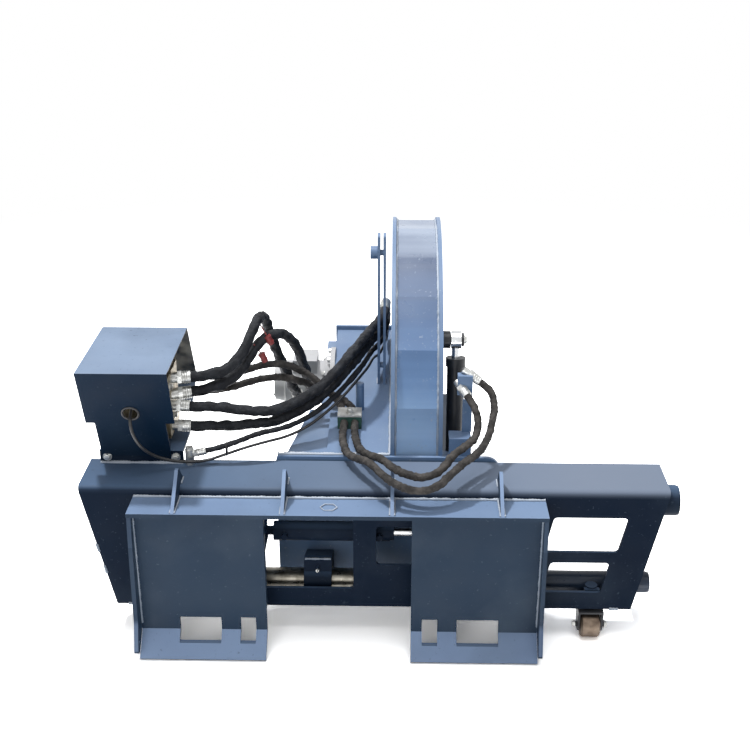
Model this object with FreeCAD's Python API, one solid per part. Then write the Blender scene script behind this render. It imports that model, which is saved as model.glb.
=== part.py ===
import FreeCAD
import Part
import math
import os

# Rock wheel trencher for a skid steer loader, in millimetres.
# X runs to the right along the frame, Y away from the loader, Z up.
# The origin is on the floor, at the middle of the loader's attachment plane.

V = FreeCAD.Vector
AXIS_X = V(1, 0, 0)
AXIS_Y = V(0, 1, 0)
AXIS_Z = V(0, 0, 1)

# Clearances
tube_hole_gap = 0.2
slide_gap = 0.3
pin_gap = 0.3
side_gap = 3.0
pick_gap = 0.2

# Main frame: one bent plate with slanted ends
frame_centre_x = 97.0
frame_top_width = 1678.0
frame_bottom_width = 1512.0
frame_top_z = 489.0
frame_bottom_z = 100.0
frame_face_y = 80.0
frame_plate = 10.0
frame_bend_radius = 22.0
flange_depth = 176.0
end_plate = 12.0

# Windows in the frame plate
window_radius = 12.0
middle_window_left = -225.0
middle_window_right = 40.0
middle_window_bottom = 161.0
middle_window_top = 407.0
small_window_left = 106.0
small_window_right = 215.0
small_window_bottom = 243.0
small_window_top = 372.0
right_window_left = 588.0
right_window_upper_width = 212.0
right_window_lower_width = 200.0
right_window_upper_bottom = 293.0
right_window_upper_top = 407.0
right_window_lower_bottom = 157.0
right_window_lower_top = 258.0

# Loader attachment
hitch_width = 1143.0
hitch_plate_width = 364.0
hitch_plate = 12.0
hitch_bend_z = 70.0
hitch_lip_run = 61.5
lip_length = 1168.0
lip_plate = 12.0
weld_bevel = 8.0
lip_front_y = -24.0
lip_front_z = 465.0
lip_back_z = 462.0
rib_plate = 10.0
rib_spacing = 304.0
rib_tip_z = 545.0
rib_back_y = 150.0
side_flange_plate = 12.0
side_flange_shoulder_z = 360.0
side_flange_waist_y = -30.0
side_flange_knee_y = -46.0
side_flange_knee_z = 120.0
side_flange_toe_y = -74.0
side_flange_toe_z = 34.0
side_flange_heel_y = -52.0
side_flange_heel_z = 22.0
side_flange_back_z = 84.0
side_flange_round = 60.0
side_flange_toe_round = 8.0
side_flange_hole_y = -48.0
side_flange_hole_z = 58.0
slot_top_z = 111.0
slot_bottom_z = 41.0
lock_slot_inner = 340.0
lock_slot_width = 120.0
small_slot_inner = 240.0
small_slot_width = 44.0
drain_hole_radius = 6.0

# Slide tubes
tube_y = 165.0
upper_tube_z = 420.0
upper_tube_radius = 45.0
lower_tube_z = 140.0
lower_tube_radius = 32.0
tube_wall = 8.0
tube_end_overhang = 48.0
tube_cap = 6.0

# Sliding carriage
carriage_left = -194.0
carriage_right = 468.0
carriage_top_z = 500.0
carriage_bottom_z = 96.0
carriage_y = 262.0
carriage_plate = 12.0
carriage_corner = 40.0
lower_sleeve_wall = 13.0
upper_sleeve_wall = 8.0
bush_wall = 4.0
sleeve_length = 82.0
upper_sleeve_length = 96.0
lower_sleeve_left = -109.0
lower_sleeve_right = 300.0
upper_sleeve_left = -292.0
upper_sleeve_right = 372.0
sleeve_cheek_height = 77.0
nipple_height = 55.0
nipple_radius = 4.0

# Side shift cylinder
shift_y = 160.0
shift_z = 308.0
shift_barrel_radius = 29.0
shift_rod_radius = 12.5
shift_barrel_left = -196.0
shift_barrel_right = 145.0
shift_pin_left = -245.0
shift_pin_right = 300.0
shift_pin_radius = 12.5
shift_eye_radius = 26.0
shift_eye_half_height = 15.0
shift_neck_radius = 14.0
shift_piston_wall = 9.0
shift_piston_start = 110.0
shift_piston_length = 20.0
shift_port_radius = 9.0
shift_port_reach = 42.0
shift_gland_length = 26.0
shift_collar_length = 12.0
shift_lug_width = 60.0
shift_lug_end = 28.0
lug_plate = 12.0

# Hood round the wheel
hood_left = 144.0
hood_right = 298.0
hood_plate = 12.0
hood_centre_y = 831.0
hood_centre_z = 488.0
hood_side_radius = 557.0
hood_band_inset = 10.0
hood_band_plate = 6.0
hood_bottom_z = 338.0
hood_band_start_z = 470.0
hood_first_bend = 16.0
hood_bend_step = 18.0
hood_bend_count = 10
hood_skirt = 60.0
hood_far_slant = 110.0
hood_band_tail = 50.0

# Rock wheel
pick_count = 24
pick_hood_gap = 65.0
pick_reach = 88.0
wheel_disc_plate = 30.0
wheel_bore_radius = 62.0
wheel_bolt_circle = 88.0
wheel_bolt_count = 8
wheel_bolt_radius = 8.0
wheel_window_count = 6
wheel_window_circle = 250.0
wheel_window_radius = 55.0
holder_width = 40.0
holder_root = 14.0
holder_height = 52.0
pick_lane_step = 35.0
pick_body_radius = 14.0
pick_length = 70.0
pick_lean = 42.0
pick_neck_length = 22.0
pick_collar = 3.0
pick_point_radius = 4.0

# Drive arm and drive
arm_left = -45.0
arm_plate = 12.0
arm_far_y = 985.0
arm_over_axle = 103.9
arm_bottom_z = 338.0
arm_end_raise = 14.0
arm_rail_width = 34.0
arm_rail_drop = 42.0
gusset_reach = 585.0
gearbox_radius = 86.0
gearbox_flange_radius = 118.0
gearbox_flange = 16.0
motor_radius = 74.0
motor_length = 150.0
motor_cap_length = 38.0
motor_flange_radius = 88.0
motor_flange_width = 18.0
motor_head_near = 124.0
motor_head_far = 44.0
motor_head_width = 104.0
motor_head_bottom = 40.0
motor_head_top = 98.0
gearbox_bolt_inset = 13.0
gearbox_bolt_across = 16.0

# Depth shoe and its cylinder
shoe_pivot_y = 1270.0
shoe_pivot_z = 400.0
shoe_pivot_radius = 22.0
shoe_eye_radius = 48.0
shoe_plate = 12.0
shoe_bottom_z = 250.0
shoe_top_z = 318.0
shoe_near_y = 352.0
shoe_sole = 12.0
shoe_sole_width = 60.0
shoe_nose = 70.0
shoe_shoulder_y = 1120.0
shoe_heel_y = 1180.0
shoe_heel_end_y = 1240.0
shoe_heel_rise = 10.0
shoe_bar_y = 1432.0
shoe_bar_z = 330.0
shoe_bar_radius = 22.0
depth_low_y = 390.0
depth_low_z = 420.0
depth_high_y = 450.0
depth_high_z = 800.0
depth_cylinder_x = 338.0
depth_barrel_radius = 26.0
depth_barrel_start = 24.0
depth_barrel_end = 330.0
depth_rod_radius = 12.5
depth_pin_radius = 14.0
depth_eye_radius = 27.0
depth_eye_width = 30.0
depth_barrel_floor = 18.0
depth_piston_wall = 9.0
depth_piston_length = 20.0
depth_head_length = 26.0
depth_boss_wall = 12.0
open_pivot_gap = 3.0
pin_head = 6.0
pin_head_radius = 21.0

# Valve cover and valve
cover_left = -728.0
cover_right = -472.0
cover_plate = 4.0
cover_base_y = 240.0
cover_base_z = 495.0
cover_front_y = 121.0
cover_top_z = 823.0
cover_back_y = 474.0
cover_nose_y = 586.0
cover_nose_z = 619.0
cover_tail_y = 475.0
cover_tail_z = 565.0
cover_notch = 26.0
cover_notch_z = 640.0
cover_hole_radius = 24.0
cover_hole_x = -593.0
cover_hole_z = 678.0
tab_left = -709.0
tab_right = -463.0
tab_plate = 8.0
tab_height = 40.0
shelf_depth = 190.0
tab_bolt_radius = 9.0
valve_left = -690.0
valve_right = -500.0
valve_y = 262.0
valve_depth = 150.0
valve_bottom_z = 555.0
valve_top_z = 745.0
valve_groove_radius = 12.0
valve_groove_step = 50.0
coil_count = 3
coil_radius = 22.0
coil_height = 48.0
coil_step = 60.0
coil_from_front = 76.0

# Support caster
caster_from_end = 115.0
caster_y = 112.0
caster_wheel_radius = 38.0
caster_wheel_width = 56.0
caster_axle_radius = 8.0
caster_fork_plate = 6.0
caster_fork_gap = 3.0
caster_trail = 18.0
caster_housing_wall = 7.0
caster_post_radius = 11.0
bearing_gap = 0.3
caster_below_frame = 8.0
caster_crown_near = 40.0
caster_crown_far = 26.0
caster_stem_height = 60.0
caster_arm_width = 44.0

# Hose post and clamp on the drive arm
post_x = 112.0
post_y = 650.0
post_top_z = 1060.0
post_bar = 8.0
post_depth = 40.0
post_space = 10.0
hook_radius = 20.0
hook_below_top = 60.0
hook_length = 22.0
spacer_over_arm = 60.0
spacer_radius = 9.0

# Hose clamp on the drive arm
clamp_left = -18.0
clamp_right = 55.0
clamp_near_y = 404.0
clamp_far_y = 448.0
clamp_height = 40.0
clamp_cover = 5.0
clamp_bolt_across = 13.0

# Hose block on the carriage, right of the hood
block_left = 340.0
block_right = 384.0
block_near_y = 322.0
block_far_y = 350.0
block_bottom_z = 676.0
block_top_z = 736.0
bracket_left = 317.0
bracket_right = 382.0
bracket_top_z = 556.0
bracket_plate = 8.0
bracket_bar_width = 28.0

# Hoses and the control cable
hose_hole_gap = 0.4
ferrule_wall = 2.5
ferrule_length = 26.0
nut_length = 12.0
bend_share = 0.45
coupler_radius = 17.0
coupler_length = 52.0
banjo_radius = 13.0
banjo_top_z = 536.0
valve_stem_reach = 80.0
small_stem_reach = 50.0
motor_stem_reach = 90.0
block_stem_reach = 60.0

# Route of each hose and of the control cable: its diameter and the points it bends round
hose_routes = {
    "supply_hose_a": (30.0, [
        (-446, 300, 644), (-390, 301, 642), (-331, 302, 637), (-261, 308, 624), (-192, 322, 620),
        (-128, 350, 640), (-70, 390, 664), (-21, 440, 697), (21, 500, 731), (51, 565, 744),
        (69, 630, 744), (79, 700, 736), (100, 745, 739), (117, 790, 745), (119, 838, 745),
    ]),
    "supply_hose_b": (30.0, [
        (-446, 300, 580), (-391, 301, 579), (-339, 303, 577), (-269, 310, 582), (-199, 326, 582),
        (-142, 355, 598), (-83, 395, 620), (-32, 445, 649), (14, 500, 684), (47, 565, 703),
        (67, 630, 707), (79, 700, 698), (100, 745, 701), (117, 790, 704), (119, 838, 704),
    ]),
    "drain_hose": (16.0, [
        (-395, 235, 530), (-346, 238, 541), (-293, 246, 560), (-242, 262, 575), (-188, 290, 574),
        (-132, 328, 578), (-74, 370, 597), (-23, 425, 623), (23, 485, 654), (56, 555, 672),
        (75, 640, 672), (84, 700, 664), (100, 745, 662), (119, 790, 672), (120, 838, 672),
    ]),
    "control_cable": (9.0, [
        (-593, 232, 690), (-593, 196, 686), (-592, 152, 668), (-583, 132, 634), (-566, 137, 592),
        (-537, 160, 552), (-497, 184, 523), (-447, 204, 508), (-392, 220, 505), (-335, 235, 520),
        (-278, 255, 533), (-221, 278, 540), (-164, 305, 543), (-106, 345, 556), (-51, 390, 583),
        (0, 440, 616), (42, 500, 646), (72, 585, 651), (81, 650, 647), (87, 700, 636), (103, 745, 627),
        (120, 790, 644), (121, 832, 644),
    ]),
    "motor_hose_a": (31.0, [
        (-446, 335, 722), (-386, 347, 722), (-328, 361, 741), (-291, 386, 786), (-270, 420, 832),
        (-256, 464, 858), (-246, 514, 850), (-238, 552, 800), (-224, 582, 730), (-204, 608, 658),
        (-182, 630, 590), (-168, 660, 528), (-165, 704, 500),
    ]),
    "motor_hose_b": (31.0, [
        (-446, 335, 674), (-386, 350, 678), (-325, 378, 698), (-288, 408, 740), (-260, 438, 782),
        (-228, 472, 800), (-190, 506, 796), (-160, 540, 758), (-142, 572, 698), (-128, 600, 630),
        (-116, 628, 562), (-111, 664, 514), (-112, 706, 498),
    ]),
    "cylinder_hose_a": (22.0, [
        (-446, 384, 702), (-388, 389, 698), (-325, 412, 700), (-262, 446, 710), (-200, 478, 708),
        (-140, 496, 682), (-82, 496, 640), (-22, 490, 580), (2, 450, 551), (2, 402, 543), (0, 352, 531),
        (2, 300, 525), (16, 240, 524), (46, 172, 541), (84, 108, 568), (126, 50, 552), (174, 20, 533),
        (226, 11, 524), (276, 24, 531), (318, 62, 556), (354, 110, 566), (398, 165, 566),
        (428, 228, 585), (444, 284, 616), (450, 312, 650), (440, 332, 688), (404, 338, 714),
    ]),
    "cylinder_hose_b": (22.0, [
        (-446, 384, 654), (-388, 392, 652), (-325, 420, 656), (-264, 456, 662), (-204, 488, 658),
        (-146, 508, 638), (-90, 528, 606), (-30, 521, 580), (18, 496, 560), (35, 450, 551),
        (35, 402, 543), (36, 352, 531), (42, 300, 527), (60, 240, 530), (84, 180, 548), (116, 122, 572),
        (150, 76, 566), (196, 50, 553), (246, 46, 549), (290, 68, 562), (322, 124, 582),
        (360, 176, 582), (392, 214, 592), (400, 250, 625), (388, 272, 664), (368, 302, 682),
    ]),
}

# Worked out from the sizes above
frame_slope = (frame_top_width - frame_bottom_width) / 2 / (frame_top_z - frame_bottom_z)
flange_back_y = frame_face_y + flange_depth
carriage_back_y = carriage_y + carriage_plate
wheel_x = (hood_left + hood_right) / 2
pick_step = 360.0 / pick_count
hood_band_radius = hood_side_radius - hood_band_inset
pick_tip_radius = hood_side_radius - pick_hood_gap
wheel_disc_radius = pick_tip_radius - pick_reach
wheel_z = hood_centre_z
arm_right = hood_left
caster_x = frame_centre_x + frame_bottom_width / 2 - caster_from_end
arm_near_z = carriage_top_z
arm_slope = (wheel_z + arm_over_axle - arm_near_z) / (hood_centre_y - carriage_back_y)
arm_far_z = arm_near_z + arm_slope * (arm_far_y - carriage_back_y)

parts = {}


def keep(name, shape):
    parts[name] = shape


def box(x0, x1, y0, y1, z0, z1):
    return Part.makeBox(x1 - x0, y1 - y0, z1 - z0, V(x0, y0, z0))


def rod(start, end, radius):
    run = end.sub(start)
    return Part.makeCylinder(radius, run.Length, start, run)


def rod_x(x0, x1, y, z, radius):
    return rod(V(x0, y, z), V(x1, y, z), radius)


def ring_x(x0, x1, y, z, outer, inner):
    return rod_x(x0, x1, y, z, outer).cut(rod_x(x0 - 1, x1 + 1, y, z, inner))


def hex_along(start, way, length, across):
    # Hexagonal prism from start along the unit vector way.
    side = way.cross(AXIS_Y if abs(way.y) < 0.8 else AXIS_Z).normalize()
    up = way.cross(side)
    corners = []
    for i in range(7):
        angle = math.radians(60 * i)
        corner = V(side).multiply(across * math.cos(angle) / math.sqrt(3))
        corner = corner.add(V(up).multiply(across * math.sin(angle) / math.sqrt(3)))
        corners.append(start.add(corner))
    return Part.Face(Part.makePolygon(corners)).extrude(V(way).multiply(length))


def fused(shapes):
    whole = shapes[0]
    for piece in shapes[1:]:
        whole = whole.fuse(piece)
    return whole.removeSplitter()


def place(plane, level, u, v):
    # A point of a flat outline: plane "yz" stands across X, "xz" faces Y, "xy" lies flat.
    if plane == "yz":
        return V(level, u, v)
    if plane == "xz":
        return V(u, level, v)
    return V(u, v, level)


def flat_face(plane, level, points):
    # Each point is (u, v) or (u, v, corner radius).
    count = len(points)
    ends = []
    edges = []
    for i in range(count):
        here = place(plane, level, points[i][0], points[i][1])
        radius = points[i][2] if len(points[i]) > 2 else 0.0
        before = place(plane, level, points[i - 1][0], points[i - 1][1]).sub(here).normalize()
        after_point = points[(i + 1) % count]
        after = place(plane, level, after_point[0], after_point[1]).sub(here).normalize()
        if radius == 0.0:
            ends.append((here, here))
            continue
        half = before.getAngle(after) / 2
        reach = radius / math.tan(half)
        middle = before.add(after).normalize()
        apex = here.add(middle.multiply(radius / math.sin(half) - radius))
        start = here.add(V(before).multiply(reach))
        stop = here.add(V(after).multiply(reach))
        edges.append(Part.Arc(start, apex, stop).toShape())
        ends.append((start, stop))
    for i in range(count):
        start = ends[i][1]
        stop = ends[(i + 1) % count][0]
        if start.sub(stop).Length > 1e-6:
            edges.append(Part.LineSegment(start, stop).toShape())
    return Part.Face(Part.Wire(Part.__sortEdges__(edges)))


def slab(plane, level, thickness, points):
    face = flat_face(plane, level, points)
    way = {"yz": AXIS_X, "xz": AXIS_Y, "xy": AXIS_Z}[plane]
    return face.extrude(V(way).multiply(thickness))


def folded_sheet(points, thickness):
    # Outline of a sheet folded along points (u, v), with its thickness to the left of the run.
    inner = []
    count = len(points)
    for i in range(count):
        ways = []
        if i > 0:
            ways.append((points[i][0] - points[i - 1][0], points[i][1] - points[i - 1][1]))
        if i < count - 1:
            ways.append((points[i + 1][0] - points[i][0], points[i + 1][1] - points[i][1]))
        normals = []
        for du, dv in ways:
            size = math.hypot(du, dv)
            normals.append((-dv / size, du / size))
        nu = sum(n[0] for n in normals) / len(normals)
        nv = sum(n[1] for n in normals) / len(normals)
        scale = thickness / (nu * nu + nv * nv)
        inner.append((points[i][0] + nu * scale, points[i][1] + nv * scale))
    return points + inner[::-1]


def frame_edge(side, z, inset=0.0):
    # X of the frame's slanted end at height z; side is -1 at the left and 1 at the right.
    half = frame_bottom_width / 2 + (z - frame_bottom_z) * frame_slope
    return frame_centre_x + side * (half - inset)


def slanted_window(left, width, bottom, top):
    lean = (top - bottom) * frame_slope
    return [
        (left, bottom, window_radius),
        (left + width, bottom, window_radius),
        (left + width + lean, top, window_radius),
        (left + lean, top, window_radius),
    ]


def upright_window(left, right, bottom, top):
    return [
        (left, bottom, window_radius),
        (right, bottom, window_radius),
        (right, top, window_radius),
        (left, top, window_radius),
    ]


def make_frame():
    inner = frame_bend_radius - frame_plate
    section = [
        (frame_face_y, frame_bottom_z),
        (frame_face_y, frame_top_z, frame_bend_radius),
        (flange_back_y, frame_top_z),
        (flange_back_y, frame_top_z - frame_plate),
        (frame_face_y + frame_plate, frame_top_z - frame_plate, inner),
        (frame_face_y + frame_plate, frame_bottom_z),
    ]
    left = frame_edge(-1, frame_top_z)
    right = frame_edge(1, frame_top_z)
    body = slab("yz", left, right - left, section)
    ends = [
        (frame_edge(-1, frame_bottom_z), frame_bottom_z),
        (frame_edge(1, frame_bottom_z), frame_bottom_z),
        (right, frame_top_z),
        (left, frame_top_z),
    ]
    body = body.common(slab("xz", frame_face_y - 1, flange_depth + 2, ends))
    windows = [
        upright_window(middle_window_left, middle_window_right, middle_window_bottom, middle_window_top),
        upright_window(small_window_left, small_window_right, small_window_bottom, small_window_top),
        slanted_window(right_window_left, right_window_upper_width,
                       right_window_upper_bottom, right_window_upper_top),
        slanted_window(right_window_left, right_window_lower_width - 28,
                       right_window_lower_bottom, right_window_lower_top),
    ]
    for window in windows:
        body = body.cut(slab("xz", frame_face_y - 5, frame_plate + 10, window))
    keep("main_frame", body)


def make_end_plates():
    low = frame_bottom_z
    high = frame_top_z - frame_plate
    plates = []
    for side in (-1, 1):
        outline = [
            (frame_edge(side, low), low),
            (frame_edge(side, high), high),
            (frame_edge(side, high, end_plate), high),
            (frame_edge(side, low, end_plate), low),
        ]
        plate = slab("xz", frame_face_y + frame_plate, flange_depth - frame_plate, outline)
        for z, radius in ((upper_tube_z, upper_tube_radius), (lower_tube_z, lower_tube_radius)):
            hole = rod_x(frame_edge(side, z) - 60, frame_edge(side, z) + 60, tube_y, z, radius + tube_hole_gap)
            plate = plate.cut(hole)
        plates.append(plate.cut(parts["main_frame"]))
    keep("frame_end_plates", Part.makeCompound(plates))


def make_tubes():
    for name, z, radius in (("upper_slide_tube", upper_tube_z, upper_tube_radius),
                            ("lower_slide_bar", lower_tube_z, lower_tube_radius)):
        left = frame_edge(-1, z) - 4
        right = frame_edge(1, z) + tube_end_overhang
        tube = ring_x(left, right, tube_y, z, radius, radius - tube_wall)
        caps = [rod_x(left - tube_cap, left, tube_y, z, radius - 2),
                rod_x(right, right + tube_cap, tube_y, z, radius - 2)]
        keep(name, fused([tube] + caps))


def hitch_outline():
    foot = hitch_plate * math.sqrt(0.5)
    end_z = hitch_bend_z - hitch_lip_run
    return [
        (weld_bevel, lip_height(weld_bevel)),
        (0, lip_height(0) - weld_bevel),
        (0, hitch_bend_z),
        (-hitch_lip_run, end_z),
        (-hitch_lip_run + foot, end_z - foot),
        (hitch_plate, hitch_bend_z - hitch_plate * math.tan(math.radians(22.5))),
        (hitch_plate, lip_height(hitch_plate)),
    ]


def lip_height(y):
    # Height of the underside of the sloped hook lip over y.
    share = (y - lip_front_y) / (frame_face_y - lip_front_y)
    return lip_front_z + share * (lip_back_z - lip_front_z) - lip_plate


def make_hitch():
    half = hitch_width / 2
    inner = half - hitch_plate_width
    outline = hitch_outline()
    plates = []
    for side in (-1, 1):
        start = inner if side > 0 else -half
        plate = slab("yz", start, hitch_plate_width, outline)
        for low, width in ((lock_slot_inner, lock_slot_width), (small_slot_inner, small_slot_width)):
            x0 = low if side > 0 else -low - width
            plate = plate.cut(box(x0, x0 + width, -31, hitch_plate + 5, slot_bottom_z, slot_top_z))
        plates.append(plate)
    keep("hitch_plates", Part.makeCompound(plates))
    lip = [
        (lip_front_y, lip_front_z),
        (frame_face_y, lip_back_z),
        (frame_face_y, lip_back_z - lip_plate),
        (lip_front_y, lip_front_z - lip_plate),
    ]
    keep("hitch_top_lip", slab("yz", -lip_length / 2, lip_length, lip))


def make_hitch_ribs():
    outline = [
        (lip_front_y + 2, lip_front_z + 0.3),
        (frame_face_y, lip_back_z),
        (frame_face_y, frame_top_z - frame_bend_radius),
        (frame_face_y + frame_bend_radius * 0.3, frame_top_z - frame_bend_radius * 0.3),
        (frame_face_y + frame_bend_radius, frame_top_z),
        (rib_back_y, frame_top_z),
        (frame_face_y + 16, rib_tip_z),
        (frame_face_y + 4, rib_tip_z),
    ]
    ribs = []
    for step in (-1.5, -0.5, 0.5, 1.5):
        rib = slab("yz", step * rib_spacing - rib_plate / 2, rib_plate, outline)
        ribs.append(rib.cut(parts["main_frame"]).cut(parts["hitch_top_lip"]))
    keep("hitch_ribs", Part.makeCompound(ribs))


def make_hitch_webs():
    half = hitch_width / 2
    inner = half - hitch_plate_width
    webs = []
    bottom = hitch_bend_z + 12
    for side in (-1, 1):
        for place_x in (half - side_flange_plate, inner + 6):
            x0 = place_x if side > 0 else -place_x - side_flange_plate
            outline = [
                (hitch_plate, bottom),
                (hitch_plate, lip_height(hitch_plate)),
                (frame_face_y, lip_height(frame_face_y)),
                (frame_face_y, frame_bottom_z + 12),
            ]
            webs.append(slab("yz", x0, side_flange_plate, outline))
    keep("hitch_webs", Part.makeCompound(webs))
    flanges = []
    for side in (-1, 1):
        x0 = half if side > 0 else -half - side_flange_plate
        outline = [
            (hitch_plate, lip_height(hitch_plate)),
            (lip_front_y + 4, lip_height(lip_front_y + 4), 0.0),
            (side_flange_waist_y, side_flange_shoulder_z, side_flange_round),
            (side_flange_knee_y, side_flange_knee_z, side_flange_round),
            (side_flange_toe_y, side_flange_toe_z, side_flange_toe_round),
            (side_flange_heel_y, side_flange_heel_z, side_flange_toe_round),
            (hitch_plate, side_flange_back_z),
        ]
        flange = slab("yz", x0, side_flange_plate, outline)
        flange = flange.cut(rod_x(x0 - 1, x0 + side_flange_plate + 1, side_flange_hole_y,
                                  side_flange_hole_z, drain_hole_radius))
        flanges.append(flange)
    keep("hitch_side_flanges", Part.makeCompound(flanges))


def rounded_back_plate():
    top = carriage_top_z
    return [
        (carriage_left, carriage_bottom_z, 20.0),
        (carriage_right, carriage_bottom_z, 20.0),
        (carriage_right, top, carriage_corner),
        (carriage_left, top, 12.0),
        (carriage_left, upper_tube_z + 50),
        (upper_sleeve_left, upper_tube_z + 50, 12.0),
        (upper_sleeve_left, upper_tube_z - 60, 12.0),
        (carriage_left, upper_tube_z - 120),
    ]


def make_carriage_plate():
    plate = slab("xz", carriage_y, carriage_plate, rounded_back_plate())
    keep("carriage_plate", plate)
    gusset = [
        (-165, carriage_back_y),
        (arm_left, carriage_back_y),
        (arm_left, gusset_reach),
        (arm_left - 69, gusset_reach),
    ]
    left = slab("xy", carriage_top_z - carriage_plate, carriage_plate, gusset)
    shelf = [
        (hood_right, carriage_back_y),
        (carriage_right - carriage_corner - 6, carriage_back_y),
        (hood_right, carriage_back_y + 60),
    ]
    right = slab("xy", carriage_top_z - 2 * carriage_plate, carriage_plate, shelf)
    keep("carriage_gussets", Part.makeCompound([left, right, make_hose_bracket()]))


def sleeve(x0, length, z, bore, wall):
    outer = bore + wall
    ring = rod_x(x0, x0 + length, tube_y, z, outer)
    web = box(x0, x0 + length, tube_y, carriage_y, z - outer * 0.7, z + outer * 0.7)
    return ring.fuse(web).cut(rod_x(x0 - 1, x0 + length + 1, tube_y, z, bore)).removeSplitter()


def make_sleeves():
    lower_bore = lower_tube_radius + slide_gap + bush_wall
    upper_bore = upper_tube_radius + slide_gap + bush_wall
    lowers = []
    for x0 in (lower_sleeve_left, lower_sleeve_right):
        cheek = [
            (tube_y - lower_bore - 6, lower_tube_z),
            (tube_y - 14, lower_tube_z + sleeve_cheek_height),
            (tube_y + 6, lower_tube_z + sleeve_cheek_height),
            (carriage_y, lower_tube_z + 40),
            (carriage_y, lower_tube_z),
        ]
        body = sleeve(x0, sleeve_length, lower_tube_z, lower_bore, lower_sleeve_wall)
        body = body.fuse(slab("yz", x0, sleeve_length, cheek))
        body = body.cut(rod_x(x0 - 1, x0 + sleeve_length + 1, tube_y, lower_tube_z, lower_bore))
        nipple_z = lower_tube_z + nipple_height
        nipple_x = x0 + sleeve_length / 2
        nipple = rod(V(nipple_x, tube_y - 40, nipple_z), V(nipple_x, tube_y, nipple_z), nipple_radius)
        body = body.fuse(nipple)
        lowers.append(body.removeSplitter())
    keep("lower_sleeves", Part.makeCompound(lowers))
    uppers = []
    for x0 in (upper_sleeve_left, upper_sleeve_right):
        uppers.append(sleeve(x0, upper_sleeve_length, upper_tube_z, upper_bore, upper_sleeve_wall))
    keep("upper_sleeves", Part.makeCompound(uppers))
    bushes = []
    for x0 in (lower_sleeve_left, lower_sleeve_right):
        bushes.append(ring_x(x0, x0 + sleeve_length, tube_y, lower_tube_z, lower_bore, lower_bore - bush_wall))
    for x0 in (upper_sleeve_left, upper_sleeve_right):
        bushes.append(ring_x(x0, x0 + upper_sleeve_length, tube_y, upper_tube_z,
                             upper_bore, upper_bore - bush_wall))
    keep("slide_bushes", Part.makeCompound(bushes))


def lug_pair(x, y_from, y_to, width):
    # Two flat ears above and below a cylinder eye, with a round end at y_to.
    radius = width / 2
    hole = rod(V(x, shift_y, shift_z - 60), V(x, shift_y, shift_z + 60), shift_pin_radius + pin_gap)
    ears = []
    for side in (-1, 1):
        z0 = shift_z + shift_eye_half_height + 1 if side > 0 else shift_z - shift_eye_half_height - 1 - lug_plate
        ear = slab("xy", z0, lug_plate, [(x - radius, y_from), (x + radius, y_from),
                                         (x + radius, y_to, radius * 0.6), (x - radius, y_to, radius * 0.6)])
        ears.append(ear.cut(hole))
    return ears


def make_shift_cylinder():
    eye_low = shift_z - shift_eye_half_height
    eye_high = shift_z + shift_eye_half_height
    barrel = rod_x(shift_barrel_left, shift_barrel_right, shift_y, shift_z, shift_barrel_radius)
    neck = rod_x(shift_pin_left, shift_barrel_left, shift_y, shift_z, shift_neck_radius)
    eye = rod(V(shift_pin_left, shift_y, eye_low), V(shift_pin_left, shift_y, eye_high), shift_eye_radius)
    hole = rod(V(shift_pin_left, shift_y, eye_low - 1), V(shift_pin_left, shift_y, eye_high + 1),
               shift_pin_radius + pin_gap)
    bore = rod_x(shift_barrel_left + 24, shift_barrel_right + 1, shift_y, shift_z,
                 shift_rod_radius + shift_piston_wall)
    ports = []
    for x in (shift_barrel_left + 34, shift_barrel_right - 30):
        port_end = V(x, shift_y - shift_port_reach, shift_z)
        ports.append(rod(V(x, shift_y, shift_z), port_end, shift_port_radius))
    tube = fused([barrel, neck, eye] + ports).cut(hole).cut(bore)
    collar_end = shift_barrel_right + shift_collar_length
    gland = ring_x(shift_barrel_right - shift_gland_length, collar_end, shift_y, shift_z,
                   shift_rod_radius + shift_piston_wall, shift_rod_radius + slide_gap)
    collar = ring_x(shift_barrel_right, collar_end, shift_y, shift_z,
                    shift_barrel_radius - 3, shift_rod_radius + slide_gap)
    keep("shift_barrel", fused([tube, gland, collar]))
    piston_start = shift_barrel_left + shift_piston_start
    piston_end = piston_start + shift_piston_length
    shaft = rod_x(piston_end - 10, shift_pin_right, shift_y, shift_z, shift_rod_radius)
    piston = rod_x(piston_start, piston_end, shift_y, shift_z,
                   shift_rod_radius + shift_piston_wall - slide_gap)
    rod_eye = rod(V(shift_pin_right, shift_y, eye_low), V(shift_pin_right, shift_y, eye_high), shift_eye_radius)
    rod_hole = rod(V(shift_pin_right, shift_y, eye_low - 1), V(shift_pin_right, shift_y, eye_high + 1),
                   shift_pin_radius + pin_gap)
    keep("shift_rod", fused([shaft, piston, rod_eye]).cut(rod_hole))
    for name, x, start, stop in (
            ("shift_frame_lug", shift_pin_left, frame_face_y + frame_plate, shift_y + shift_lug_end),
            ("shift_carriage_lug", shift_pin_right, carriage_y, shift_y - shift_lug_end)):
        reach = shift_eye_half_height + lug_plate + 1
        pin = rod(V(x, shift_y, shift_z - reach - 5), V(x, shift_y, shift_z + reach + 0.3), shift_pin_radius)
        head = rod(V(x, shift_y, shift_z + reach + 0.3), V(x, shift_y, shift_z + reach + 7), shift_pin_radius + 6)
        ears = lug_pair(x, start, stop, shift_lug_width)
        keep(name, Part.makeCompound(ears + [pin.fuse(head).removeSplitter()]))


def wheel_point(radius, angle, x=0.0):
    # Angle runs from the side nearest the loader, up and over.
    a = math.radians(angle)
    return V(x, hood_centre_y - radius * math.cos(a), wheel_z + radius * math.sin(a))


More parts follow.
